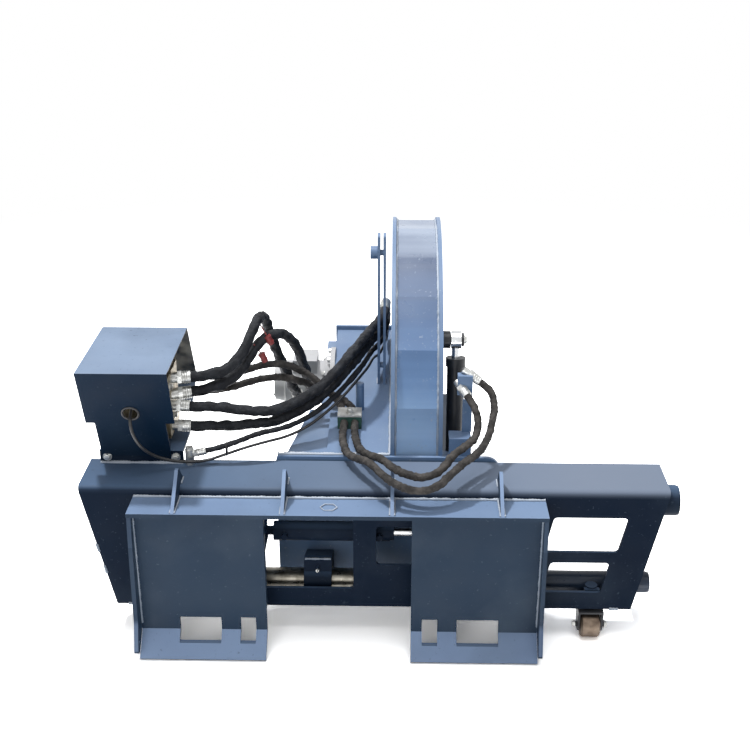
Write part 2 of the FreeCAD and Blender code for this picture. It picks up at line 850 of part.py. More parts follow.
def make_hood():
    centre = V(0, hood_centre_y, hood_centre_z)
    for name, x0 in (("hood_left_plate", hood_left), ("hood_right_plate", hood_right - hood_plate)):
        disc = Part.makeCylinder(hood_side_radius, hood_plate, V(x0, centre.y, centre.z), AXIS_X)
        reach = hood_side_radius + 1
        upper = box(x0 - 1, x0 + hood_plate + 1, centre.y - reach, centre.y + reach,
                    hood_centre_z, hood_centre_z + reach)
        skirt_points = [
            (centre.y - hood_side_radius, hood_centre_z),
            (centre.y + hood_side_radius, hood_centre_z),
            (centre.y + hood_side_radius, hood_centre_z - hood_skirt, 30.0),
            (centre.y + hood_side_radius - hood_far_slant, hood_bottom_z, 30.0),
            (centre.y - hood_side_radius, hood_bottom_z),
        ]
        plate = disc.common(upper).fuse(slab("yz", x0, hood_plate, skirt_points)).removeSplitter()
        if x0 == hood_left:
            plate = plate.cut(rod_x(x0 - 1, x0 + hood_plate + 1, centre.y, wheel_z, gearbox_radius + 1))
        keep(name, plate)
    line = [(centre.y - hood_band_radius, hood_band_start_z)]
    for i in range(hood_bend_count):
        a = math.radians(hood_first_bend + i * hood_bend_step)
        line.append((centre.y - hood_band_radius * math.cos(a), centre.z + hood_band_radius * math.sin(a)))
    line.append((centre.y + hood_band_radius, hood_centre_z - hood_band_tail))
    band = slab("yz", hood_left + hood_plate, hood_right - hood_left - 2 * hood_plate,
                folded_sheet(line[::-1], hood_band_plate))
    keep("hood_band", band)


def make_wheel():
    x0 = wheel_x - wheel_disc_plate / 2
    disc = rod_x(x0, x0 + wheel_disc_plate, hood_centre_y, wheel_z, wheel_disc_radius)
    disc = disc.cut(rod_x(x0 - 1, x0 + wheel_disc_plate + 1, hood_centre_y, wheel_z, wheel_bore_radius + pin_gap))
    for i in range(wheel_bolt_count):
        p = wheel_point(wheel_bolt_circle, i * 360.0 / wheel_bolt_count)
        disc = disc.cut(rod_x(x0 - 1, x0 + wheel_disc_plate + 1, p.y, p.z, wheel_bolt_radius + 0.5))
    for i in range(wheel_window_count):
        p = wheel_point(wheel_window_circle, (i + 0.5) * 360.0 / wheel_window_count)
        disc = disc.cut(rod_x(x0 - 1, x0 + wheel_disc_plate + 1, p.y, p.z, wheel_window_radius))
    keep("wheel_disc", disc)


def turned(shape, angle):
    copy = shape.copy()
    copy.rotate(V(0, hood_centre_y, wheel_z), AXIS_X, angle)
    return copy


def pick_body(foot, way, gap):
    # A short neck and a pointed cone in one line, grown by the gap.
    neck_start = foot.sub(V(way).multiply(gap))
    neck = Part.makeCylinder(pick_body_radius + gap, pick_neck_length + gap, neck_start, way)
    cone_start = foot.add(V(way).multiply(pick_neck_length - gap))
    cone = Part.makeCone(pick_body_radius + pick_collar + gap, pick_point_radius + gap,
                         pick_length - pick_neck_length + 2 * gap, cone_start, way)
    return neck.fuse(cone)


def make_picks():
    # The first pick is made at the near side of the wheel and turned round it.
    base = wheel_disc_radius
    holder_points = [
        (hood_centre_y - base + holder_root, wheel_z - 34),
        (hood_centre_y - base - holder_height, wheel_z - 12, 6.0),
        (hood_centre_y - base - holder_height - 6, wheel_z + 30),
        (hood_centre_y - base + holder_root, wheel_z + 60),
    ]
    holders = []
    picks = []
    lean = math.radians(pick_lean)
    way = V(0, -math.cos(lean), -math.sin(lean))
    tip = V(0, hood_centre_y - pick_tip_radius, wheel_z)
    heel = tip.sub(V(way).multiply(pick_length))
    for i in range(pick_count):
        lane = (i % 3 - 1) * pick_lane_step
        x0 = min(lane - holder_width / 2, wheel_disc_plate / 2)
        x1 = max(lane + holder_width / 2, -wheel_disc_plate / 2)
        block = slab("yz", wheel_x + x0, x1 - x0, holder_points)
        block = block.cut(rod_x(wheel_x - wheel_disc_plate / 2, wheel_x + wheel_disc_plate / 2,
                                hood_centre_y, wheel_z, wheel_disc_radius))
        foot = V(wheel_x + lane, heel.y, heel.z)
        pick = pick_body(foot, way, 0)
        block = block.cut(pick_body(foot, way, pick_gap))
        angle = pick_step * (i + 0.5) + 90
        holders.append(turned(block, angle))
        picks.append(turned(pick.removeSplitter(), angle))
    keep("pick_holders", Part.makeCompound(holders))
    keep("carbide_picks", Part.makeCompound(picks))


def make_drive():
    y = hood_centre_y
    z = wheel_z
    flange_x = arm_left - gearbox_flange
    body = [
        (flange_x, 0), (flange_x, gearbox_flange_radius), (arm_left, gearbox_flange_radius),
        (arm_left, gearbox_radius - 6), (arm_left + 70, gearbox_radius - 6), (arm_left + 78, gearbox_radius),
        (hood_left + hood_plate, gearbox_radius), (hood_left + hood_plate, 0),
    ]
    face = Part.Face(Part.makePolygon([V(u, y, z + v) for u, v in body] + [V(flange_x, y, z)]))
    keep("gearbox_housing", face.revolve(V(0, y, z), AXIS_X, 360))
    disc_face = wheel_x - wheel_disc_plate / 2
    hub = rod_x(hood_left + hood_plate + bearing_gap, disc_face, y, z, wheel_bolt_circle + 20)
    spigot = rod_x(disc_face, wheel_x + wheel_disc_plate / 2 + 6, y, z, wheel_bore_radius)
    keep("output_hub", hub.fuse(spigot).removeSplitter())
    bolts = []
    for i in range(wheel_bolt_count):
        p = wheel_point(wheel_bolt_circle, i * 360.0 / wheel_bolt_count)
        end = wheel_x + wheel_disc_plate / 2
        bolts.append(fused([rod_x(disc_face, end, p.y, p.z, wheel_bolt_radius),
                            hex_along(V(end, p.y, p.z), AXIS_X, 13, 27)]))
    keep("wheel_bolts", Part.makeCompound(bolts))
    end = flange_x
    motor = [
        (end, 0), (end, motor_flange_radius), (end - motor_flange_width, motor_flange_radius),
        (end - motor_flange_width, motor_radius),
        (end - motor_length, motor_radius), (end - motor_length - 6, motor_radius - 8),
        (end - motor_length - motor_cap_length, motor_radius - 14), (end - motor_length - motor_cap_length, 0),
    ]
    face = Part.Face(Part.makePolygon([V(u, y, z + v) for u, v in motor] + [V(end, y, z)]))
    case = face.revolve(V(0, y, z), AXIS_X, 360)
    half = motor_head_width / 2
    head = box(end - motor_head_near, end - motor_head_far, y - half, y + half,
               z + motor_head_bottom, z + motor_head_top)
    keep("hydraulic_motor", case.fuse(head).removeSplitter())
    studs = []
    for i in range(8):
        p = wheel_point(gearbox_flange_radius - gearbox_bolt_inset, i * 45 + 22.5)
        studs.append(hex_along(V(flange_x - 9, p.y, p.z), AXIS_X, 9, gearbox_bolt_across))
    keep("gearbox_bolts", Part.makeCompound(studs))


def arm_top(y):
    return arm_near_z + (y - carriage_back_y) * arm_slope


def make_arm():
    top = [
        (carriage_back_y, arm_near_z), (arm_far_y, arm_far_z),
        (arm_far_y, arm_far_z - arm_plate), (carriage_back_y, arm_near_z - arm_plate),
    ]
    keep("arm_top_plate", slab("yz", arm_left, arm_right - arm_left, top))
    wall = [
        (carriage_back_y, arm_near_z - arm_plate), (arm_far_y, arm_far_z - arm_plate),
        (arm_far_y, arm_bottom_z), (carriage_back_y, arm_bottom_z),
    ]
    side = slab("yz", arm_left, arm_plate, wall)
    side = side.cut(rod_x(arm_left - 1, arm_left + arm_plate + 1, hood_centre_y, wheel_z, gearbox_radius - 6))
    rail_low = arm_rail_drop + 10
    rail = [
        (carriage_back_y + 40, arm_top(carriage_back_y + 40) - arm_rail_drop),
        (arm_far_y, arm_far_z - arm_rail_drop),
        (arm_far_y, arm_far_z - rail_low),
        (carriage_back_y + 40, arm_top(carriage_back_y + 40) - rail_low),
    ]
    rail_bar = slab("yz", arm_left - arm_rail_width, arm_rail_width, rail)
    clear = rod_x(arm_left - 60, arm_left, hood_centre_y, wheel_z, gearbox_flange_radius + 4)
    rail_bar = rail_bar.cut(clear).cut(parts["carriage_gussets"])
    keep("arm_side_plate", fused([side, rail_bar]))
    keep("arm_end_plate", box(arm_left - 6, arm_right, arm_far_y, arm_far_y + arm_plate,
                              arm_bottom_z, arm_far_z + arm_end_raise))


def make_shoe():
    right_x = hood_right + side_gap
    left_x = hood_left - side_gap - shoe_plate
    side_points = [
        (shoe_near_y, depth_low_z - 6, 20.0),
        (depth_low_y + 22, depth_low_z + 24, 18.0),
        (depth_low_y + 44, shoe_top_z, 30.0),
        (shoe_shoulder_y, shoe_top_z, 60.0),
        (shoe_pivot_y - 20, shoe_pivot_z + shoe_eye_radius - 4, 30.0),
        (shoe_pivot_y + 40, shoe_pivot_z + 34, 20.0),
        (shoe_bar_y + 26, shoe_bar_z + 18, 16.0),
        (shoe_bar_y + 10, shoe_bar_z - 34, 16.0),
        (shoe_heel_y, shoe_bottom_z, 60.0),
        (shoe_near_y + shoe_nose, shoe_bottom_z, 60.0),
        (shoe_near_y, shoe_bottom_z + shoe_nose, 30.0),
    ]
    left_points = [(shoe_near_y, shoe_top_z, 20.0)] + side_points[3:]
    soles = []
    for x0 in (right_x, left_x + shoe_plate - shoe_sole_width):
        soles.append(slab("yz", x0, shoe_sole_width, sole_points()))
    keep("shoe_soles", Part.makeCompound(soles))
    sides = [shoe_side(right_x, side_points, True).cut(soles[0]),
             shoe_side(left_x, left_points, False).cut(soles[1])]
    keep("shoe_sides", Part.makeCompound(sides))
    bar = rod_x(left_x + shoe_plate, right_x, shoe_bar_y, shoe_bar_z, shoe_bar_radius)
    keep("shoe_cross_bar", bar)
    pins = []
    for x0, x1 in ((hood_right, right_x + shoe_plate + 3), (left_x - 3, hood_left)):
        pins.append(rod_x(x0, x1, shoe_pivot_y, shoe_pivot_z, shoe_pivot_radius))
    keep("shoe_pivot_pins", Part.makeCompound(pins))


def shoe_side(x0, points, with_pin):
    plate = slab("yz", x0, shoe_plate, points)
    hole = rod_x(x0 - 1, x0 + shoe_plate + 1, shoe_pivot_y, shoe_pivot_z, shoe_pivot_radius + pin_gap)
    plate = plate.cut(hole)
    if with_pin:
        pin_end = depth_cylinder_x + depth_eye_width / 2 + 2
        plate = plate.fuse(rod_x(x0 + shoe_plate, pin_end, depth_low_y, depth_low_z, depth_pin_radius))
        plate = plate.fuse(rod_x(pin_end, pin_end + pin_head, depth_low_y, depth_low_z, pin_head_radius))
    return plate.removeSplitter()


def sole_points():
    line = [
        (shoe_near_y, shoe_bottom_z + shoe_nose),
        (shoe_near_y + shoe_nose, shoe_bottom_z),
        (shoe_heel_y, shoe_bottom_z),
        (shoe_heel_end_y, shoe_bottom_z + shoe_heel_rise),
    ]
    return folded_sheet(line[::-1], shoe_sole)


def along(share):
    # A point on the depth cylinder's line, share millimetres up from its lower pin.
    low = V(depth_cylinder_x, depth_low_y, depth_low_z)
    high = V(depth_cylinder_x, depth_high_y, depth_high_z)
    way = high.sub(low).normalize()
    return low.add(way.multiply(share))


def make_depth_cylinder():
    length = math.hypot(depth_high_y - depth_low_y, depth_high_z - depth_low_z)
    half = depth_eye_width / 2
    x0 = depth_cylinder_x - half
    x1 = depth_cylinder_x + half
    eye = rod_x(x0, x1, depth_low_y, depth_low_z, depth_eye_radius)
    tube = rod(along(depth_barrel_start), along(depth_barrel_end), depth_barrel_radius)
    bore = rod(along(depth_barrel_start + depth_barrel_floor), along(depth_barrel_end + 1),
               depth_rod_radius + depth_piston_wall)
    hole = rod_x(x0 - 20, x1 + 20, depth_low_y, depth_low_z, depth_pin_radius + pin_gap)
    head = rod(along(depth_barrel_end - depth_head_length), along(depth_barrel_end), depth_barrel_radius + 4)
    barrel = fused([eye, tube, head]).cut(bore).cut(hole)
    gland = rod(along(depth_barrel_end - depth_head_length + 2), along(depth_barrel_end),
                depth_rod_radius + depth_piston_wall)
    gland = gland.cut(rod(along(depth_barrel_end - 30), along(depth_barrel_end + 5), depth_rod_radius + slide_gap))
    keep("depth_barrel", barrel.fuse(gland).removeSplitter())
    shaft = rod(along(depth_barrel_start + depth_barrel_floor + 22), along(length - 10), depth_rod_radius)
    piston_start = depth_barrel_start + depth_barrel_floor + 6
    piston = rod(along(piston_start), along(piston_start + depth_piston_length),
                 depth_rod_radius + depth_piston_wall - slide_gap)
    rod_eye = rod_x(x0, x1, depth_high_y, depth_high_z, depth_eye_radius)
    rod_hole = rod_x(x0 - 1, x1 + 1, depth_high_y, depth_high_z, depth_pin_radius + open_pivot_gap)
    keep("depth_rod", fused([shaft, piston, rod_eye]).cut(rod_hole))
    boss = rod_x(hood_right, x0 - 2, depth_high_y, depth_high_z, depth_pin_radius + depth_boss_wall)
    pin = rod_x(x0 - 2, x1 + 2, depth_high_y, depth_high_z, depth_pin_radius)
    cap = rod_x(x1 + 2, x1 + 2 + pin_head, depth_high_y, depth_high_z, pin_head_radius)
    keep("depth_hood_pin", fused([boss, pin, cap]))


def cover_outline():
    # The cover's folded section, from its foot over the front, the top and the back.
    return [
        (cover_base_y, cover_base_z),
        (cover_front_y, cover_top_z),
        (cover_back_y, cover_top_z),
        (cover_nose_y, cover_nose_z),
        (cover_tail_y, cover_tail_z),
    ]


def make_cover():
    outline = folded_sheet(cover_outline()[::-1], cover_plate)
    shell = slab("yz", cover_left, cover_right - cover_left, outline)
    front_low = cover_notch_z
    for x0, x1 in ((cover_left - 1, cover_left + cover_notch), (cover_right - cover_notch, cover_right + 1)):
        shell = shell.cut(box(x0, x1, cover_front_y - 10, cover_base_y + 20, cover_base_z - 20, front_low))
    hole = rod(V(cover_hole_x, 0, cover_hole_z), V(cover_hole_x, 300, cover_hole_z), cover_hole_radius)
    shell = shell.cut(hole)
    foot_y = cover_base_y + 2
    tab = box(tab_left, tab_right, foot_y - tab_plate, foot_y, frame_top_z, frame_top_z + tab_height)
    shelf = box(tab_left, tab_right, foot_y, foot_y + shelf_depth, frame_top_z + tab_height - tab_plate,
                frame_top_z + tab_height)
    angle = tab.fuse(shelf).removeSplitter()
    keep("valve_bracket", angle.cut(shell))
    bolts = []
    for x in (tab_left + 22, tab_right - 22):
        z = frame_top_z + 20
        bolts.append(rod(V(x, foot_y - tab_plate - 8, z), V(x, foot_y - tab_plate, z), tab_bolt_radius))
    keep("bracket_bolts", Part.makeCompound(bolts))
    keep("valve_cover", shell.cut(parts["bracket_bolts"]))


def make_valve():
    low = frame_top_z + tab_height
    foot = box(valve_left + 20, valve_right - 20, valve_y + 30, valve_y + valve_depth - 30, low, valve_bottom_z)
    body = box(valve_left, valve_right, valve_y, valve_y + valve_depth, valve_bottom_z, valve_top_z)
    for dy in (valve_groove_step, 2 * valve_groove_step):
        groove = rod_x(valve_left - 1, valve_right + 1, valve_y + dy, valve_top_z + 6, valve_groove_radius)
        body = body.cut(groove)
    keep("valve_block", foot.fuse(body).removeSplitter())
    coils = []
    for i in range(coil_count):
        x = (valve_left + valve_right) / 2 + (i - (coil_count - 1) / 2) * coil_step
        centre = V(x, valve_y + coil_from_front, valve_top_z)
        coils.append(Part.makeCylinder(coil_radius, coil_height, centre, AXIS_Z))
    keep("valve_coils", Part.makeCompound(coils))


def make_caster():
    low = caster_wheel_radius
    wheel_y = caster_y - caster_trail
    half = caster_wheel_width / 2
    roller = [
        (-half, caster_axle_radius + pin_gap), (-half, caster_wheel_radius - 5), (-half + 5, caster_wheel_radius),
        (half - 5, caster_wheel_radius), (half, caster_wheel_radius - 5), (half, caster_axle_radius + pin_gap),
    ]
    ring = [V(caster_x + u, wheel_y, low + v) for u, v in roller]
    face = Part.Face(Part.makePolygon(ring + [ring[0]]))
    keep("caster_roller", face.revolve(V(0, wheel_y, low), AXIS_X, 360))
    fork_top = frame_bottom_z - caster_below_frame
    cheeks = []
    for side in (-1, 1):
        inner = half + caster_fork_gap
        x0 = caster_x + inner if side > 0 else caster_x - inner - caster_fork_plate
        outline = [
            (wheel_y - 20, low + 2, 12.0), (wheel_y - 12, low - 18, 10.0), (wheel_y + 14, low - 18, 10.0),
            (caster_y + caster_crown_far, fork_top - caster_fork_plate),
            (caster_y - caster_crown_near, fork_top - caster_fork_plate),
        ]
        cheeks.append(slab("yz", x0, caster_fork_plate, outline))
    width = half + caster_fork_gap + caster_fork_plate
    crown = box(caster_x - width, caster_x + width, caster_y - caster_crown_near, caster_y + caster_crown_far,
                fork_top - caster_fork_plate, fork_top)
    axle = rod_x(caster_x - width - 6, caster_x + width + 6, wheel_y, low, caster_axle_radius)
    stem_top = fork_top + caster_stem_height
    stem = rod(V(caster_x, caster_y, fork_top), V(caster_x, caster_y, stem_top), caster_post_radius)
    keep("caster_fork", fused(cheeks + [crown, axle, stem]))
    housing = rod(V(caster_x, caster_y, fork_top + 2), V(caster_x, caster_y, stem_top + 12),
                  caster_post_radius + caster_housing_wall)
    housing = housing.cut(rod(V(caster_x, caster_y, fork_top), V(caster_x, caster_y, stem_top + 2),
                              caster_post_radius + bearing_gap))
    half = caster_arm_width / 2
    arm = box(caster_x - half, caster_x + half, frame_face_y + frame_plate, caster_y - 8,
              fork_top + 10, stem_top + 8)
    arm = arm.cut(rod(V(caster_x, caster_y, fork_top - 20), V(caster_x, caster_y, stem_top + 20),
                      caster_post_radius + caster_housing_wall - 1))
    keep("caster_mount", housing.fuse(arm).removeSplitter())


def make_post():
    foot = arm_top(post_y)
    bars = []
    for x0 in (post_x - post_space / 2 - post_bar, post_x + post_space / 2):
        bars.append(slab("yz", x0, post_bar, [
            (post_y, arm_top(post_y)), (post_y, post_top_z, 10.0),
            (post_y + post_depth, post_top_z, 10.0), (post_y + post_depth, arm_top(post_y + post_depth))]))
    spacer = []
    for z in (foot + spacer_over_arm, post_top_z - hook_below_top):
        spacer.append(rod_x(post_x - post_space / 2, post_x + post_space / 2, post_y + post_depth / 2, z,
                            spacer_radius))
    hook = rod_x(post_x - post_space / 2 - post_bar - hook_length, post_x - post_space / 2 - post_bar,
                 post_y + post_depth / 2, post_top_z - hook_below_top, hook_radius)
    keep("hose_post", fused(bars + spacer + [hook]))


def hose_points(name):
    return [V(*point) for point in hose_routes[name][1]]


def hose_bends(points):
    # For each corner: where its arc starts, its middle, where it ends, and its radius.
    bends = []
    for i in range(1, len(points) - 1):
        back = points[i - 1].sub(points[i])
        onward = points[i + 1].sub(points[i])
        reach = bend_share * min(back.Length, onward.Length)
        back.normalize()
        onward.normalize()
        turn = math.pi - back.getAngle(onward)
        radius = reach / math.tan(turn / 2)
        inward = back.add(onward).normalize()
        middle = points[i].add(inward.multiply(radius / math.cos(turn / 2) - radius))
        start = points[i].add(V(back).multiply(reach))
        stop = points[i].add(V(onward).multiply(reach))
        bends.append((start, middle, stop, radius))
    return bends


def hose_line(points):
    edges = []
    here = points[0]
    for start, middle, stop, radius in hose_bends(points):
        edges.append(Part.LineSegment(here, start).toShape())
        edges.append(Part.Arc(start, middle, stop).toShape())
        here = stop
    edges.append(Part.LineSegment(here, points[-1]).toShape())
    return Part.Wire(edges)


def hose_tube(name, radius):
    points = hose_points(name)
    way = points[1].sub(points[0])
    ring = Part.Wire(Part.makeCircle(radius, points[0], way))
    return hose_line(points).makePipeShell([ring], True, False)


def make_hoses():
    for name, (diameter, _) in hose_routes.items():
        tube = hose_tube(name, diameter / 2)
        line = hose_line(hose_points(name))
        section = math.pi * diameter * diameter / 4
        tightest = min(bend[3] for bend in hose_bends(hose_points(name)))
        print(name, "length", round(line.Length), "tightest bend", round(tightest),
              "volume over section times length", round(tube.Volume / (section * line.Length), 4))
        keep(name, tube)


def hose_end(name, at_start):
    # The end point of a hose and the way out of it.
    points = hose_points(name)
    if not at_start:
        points.reverse()
    return points[0], points[0].sub(points[1]).normalize()


def hose_fitting(name, at_start, reach):
    # Ferrule, nut and stem in line with the end of a hose, reaching that far past it.
    start, way = hose_end(name, at_start)
    radius = hose_routes[name][0] / 2
    ferrule = rod(start, start.add(V(way).multiply(ferrule_length)), radius + ferrule_wall)
    nut_start = start.add(V(way).multiply(ferrule_length))
    nut = hex_along(nut_start, way, nut_length, 2 * (radius + ferrule_wall))
    stem_start = nut_start.add(V(way).multiply(nut_length))
    stem = rod(stem_start, start.add(V(way).multiply(reach)), radius)
    return fused([ferrule, nut, stem])


def hose_coupler(name):
    start, way = hose_end(name, False)
    radius = hose_routes[name][0] / 2
    ferrule = rod(start, start.add(V(way).multiply(ferrule_length)), radius + ferrule_wall)
    body_start = start.add(V(way).multiply(ferrule_length))
    size = min(coupler_radius, radius + 2 * ferrule_wall)
    body = rod(body_start, body_start.add(V(way).multiply(coupler_length)), size)
    nose = rod(body_start, body_start.add(V(way).multiply(coupler_length + 14)), size * 0.7)
    return fused([ferrule, body, nose])


def make_hose_fittings():
    near = []
    for name in ("supply_hose_a", "supply_hose_b", "motor_hose_a", "motor_hose_b",
                 "cylinder_hose_a", "cylinder_hose_b"):
        near.append(hose_fitting(name, True, valve_stem_reach).cut(parts["valve_block"]))
    near.append(hose_fitting("control_cable", True, small_stem_reach).cut(parts["valve_block"]))
    elbow = hose_fitting("drain_hose", True, small_stem_reach)
    start, way = hose_end("drain_hose", True)
    middle = start.add(V(way).multiply(small_stem_reach))
    banjo = rod(V(middle.x, middle.y, frame_top_z), V(middle.x, middle.y, banjo_top_z), banjo_radius)
    top = hex_along(V(middle.x, middle.y, banjo_top_z), AXIS_Z, 8, 19)
    near.append(fused([elbow, banjo, top]))
    keep("hose_fittings", Part.makeCompound(near))
    ports = []
    for name in ("motor_hose_a", "motor_hose_b"):
        ports.append(hose_fitting(name, False, motor_stem_reach).cut(parts["hydraulic_motor"]))
    keep("motor_fittings", Part.makeCompound(ports))
    far = [hose_coupler(name) for name in ("supply_hose_a", "supply_hose_b", "drain_hose", "control_cable")]
    for name in ("cylinder_hose_a", "cylinder_hose_b"):
        far.append(hose_fitting(name, False, block_stem_reach).cut(hose_block()))
    far.append(make_clamp())
    keep("hose_ends", Part.makeCompound(far))


def hose_block():
    return box(block_left, block_right, block_near_y, block_far_y, block_bottom_z, block_top_z)


def make_hose_bracket():
    # A folded bracket on the shelf, with a bar up to the block that both cylinder hoses end on.
    front = box(bracket_left, bracket_right, carriage_back_y, carriage_back_y + bracket_plate,
                carriage_top_z - carriage_plate, bracket_top_z)
    top = box(bracket_left, bracket_right, carriage_back_y, block_near_y + bracket_plate,
              bracket_top_z - bracket_plate, bracket_top_z)
    bar = box(block_right - bracket_bar_width, block_right, block_near_y, block_near_y + bracket_plate,
              bracket_top_z, block_bottom_z)
    return fused([front, top, bar, hose_block()])


def make_clamp():
    # Two halves round both cylinder hoses, lying on the sloped arm, under a steel cover strip.
    near = arm_top(clamp_near_y)
    far = arm_top(clamp_far_y)
    outline = [(clamp_near_y, near), (clamp_far_y, far),
               (clamp_far_y, far + clamp_height), (clamp_near_y, near + clamp_height)]
    body = slab("yz", clamp_left, clamp_right - clamp_left, outline)
    for name in ("cylinder_hose_a", "cylinder_hose_b"):
        body = body.cut(hose_tube(name, hose_routes[name][0] / 2 + hose_hole_gap))
    outline = [(clamp_near_y, near + clamp_height), (clamp_far_y, far + clamp_height),
               (clamp_far_y, far + clamp_height + clamp_cover),
               (clamp_near_y, near + clamp_height + clamp_cover)]
    cover = slab("yz", clamp_left, clamp_right - clamp_left, outline)
    x = (clamp_left + clamp_right) / 2
    y = (clamp_near_y + clamp_far_y) / 2
    head = hex_along(V(x, y, arm_top(y) + clamp_height + clamp_cover - 1), AXIS_Z, 9, clamp_bolt_across)
    keep("hose_clamp", body)
    return cover.fuse(head).removeSplitter()


def write_parts():
    os.makedirs("parts", exist_ok=True)
    for name in sorted(parts):
        parts[name].exportStep("parts/" + name + ".step")
    print(len(parts), "parts written")


make_frame()
make_end_plates()
make_tubes()
make_hitch()
make_hitch_ribs()
make_hitch_webs()
make_carriage_plate()
make_sleeves()
make_shift_cylinder()
make_hood()
make_wheel()
make_picks()
make_drive()
make_arm()
make_shoe()
make_depth_cylinder()
make_cover()
make_valve()
make_caster()
make_post()
make_hoses()
make_hose_fittings()
write_parts()
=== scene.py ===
import math

import bmesh
import bpy
from mathutils import Matrix, Vector, noise


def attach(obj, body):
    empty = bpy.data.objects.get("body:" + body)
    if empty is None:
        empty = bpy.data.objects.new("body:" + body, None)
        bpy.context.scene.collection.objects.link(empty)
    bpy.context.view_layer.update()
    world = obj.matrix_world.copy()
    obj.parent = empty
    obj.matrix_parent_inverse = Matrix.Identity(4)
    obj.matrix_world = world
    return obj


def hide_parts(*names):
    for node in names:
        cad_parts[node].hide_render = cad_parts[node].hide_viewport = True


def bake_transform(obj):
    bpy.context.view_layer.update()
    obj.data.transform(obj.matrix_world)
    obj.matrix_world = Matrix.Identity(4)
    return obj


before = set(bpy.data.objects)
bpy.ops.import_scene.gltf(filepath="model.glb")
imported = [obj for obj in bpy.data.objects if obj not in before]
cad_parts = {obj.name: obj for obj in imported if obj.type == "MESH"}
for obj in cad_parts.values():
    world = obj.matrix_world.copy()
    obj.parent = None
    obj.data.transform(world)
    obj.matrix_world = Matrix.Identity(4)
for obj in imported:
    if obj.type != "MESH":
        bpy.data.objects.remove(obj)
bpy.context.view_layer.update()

# %% [markdown]
# A rock wheel trencher hangs on a small loader and cuts a narrow slot in rock
# or asphalt. It is a wide steel frame with two slide tubes, a carriage that
# shifts sideways on them, and a tall hood round a toothed wheel.
#
# The imported solids already have the right form and size. This file gives them
# the finish of the real machine, and adds what solids leave out: sleeved hoses,
# weld beads, bolts and small fittings.

# %% [markdown]
# The photograph was taken by a standing person in front of the machine,
# looking down on it. A camera could be placed by eye, but this one was fitted
# to the frame's straight edges, so that a render can be laid over the
# photograph. The lens gives the same narrowing towards the back, and the tilt
# gives the same view of the tops of the frame and the hood.

# %% Camera
lens, sensor = 57.6, 36.0          # in millimetres
tilt_down, heading = 23.7, 1.2     # in degrees
camera_data = bpy.data.cameras.new("camera")
camera_data.lens = lens
camera_data.sensor_width = sensor
camera_data.clip_end = 200.0
camera = bpy.data.objects.new("camera", camera_data)
camera.location = (0.165, -2.884, 2.146)
camera.rotation_euler = (math.radians(90.0 - tilt_down), 0, math.radians(heading))
bpy.context.scene.collection.objects.link(camera)
bpy.context.scene.camera = camera
print("camera lens", lens, "mm,", tilt_down, "degrees down")

# %% [markdown]
# The hoses come next, because everything else makes room for them. A hose has
# a fixed length, so it is drawn as one smooth curve through its bends: a NURBS
# spline of order 3 is pulled towards its control points and never kinks. The
# points are the corners of the route that the solid model's hoses follow.
# Each row gives the diameter, the length and the corners.

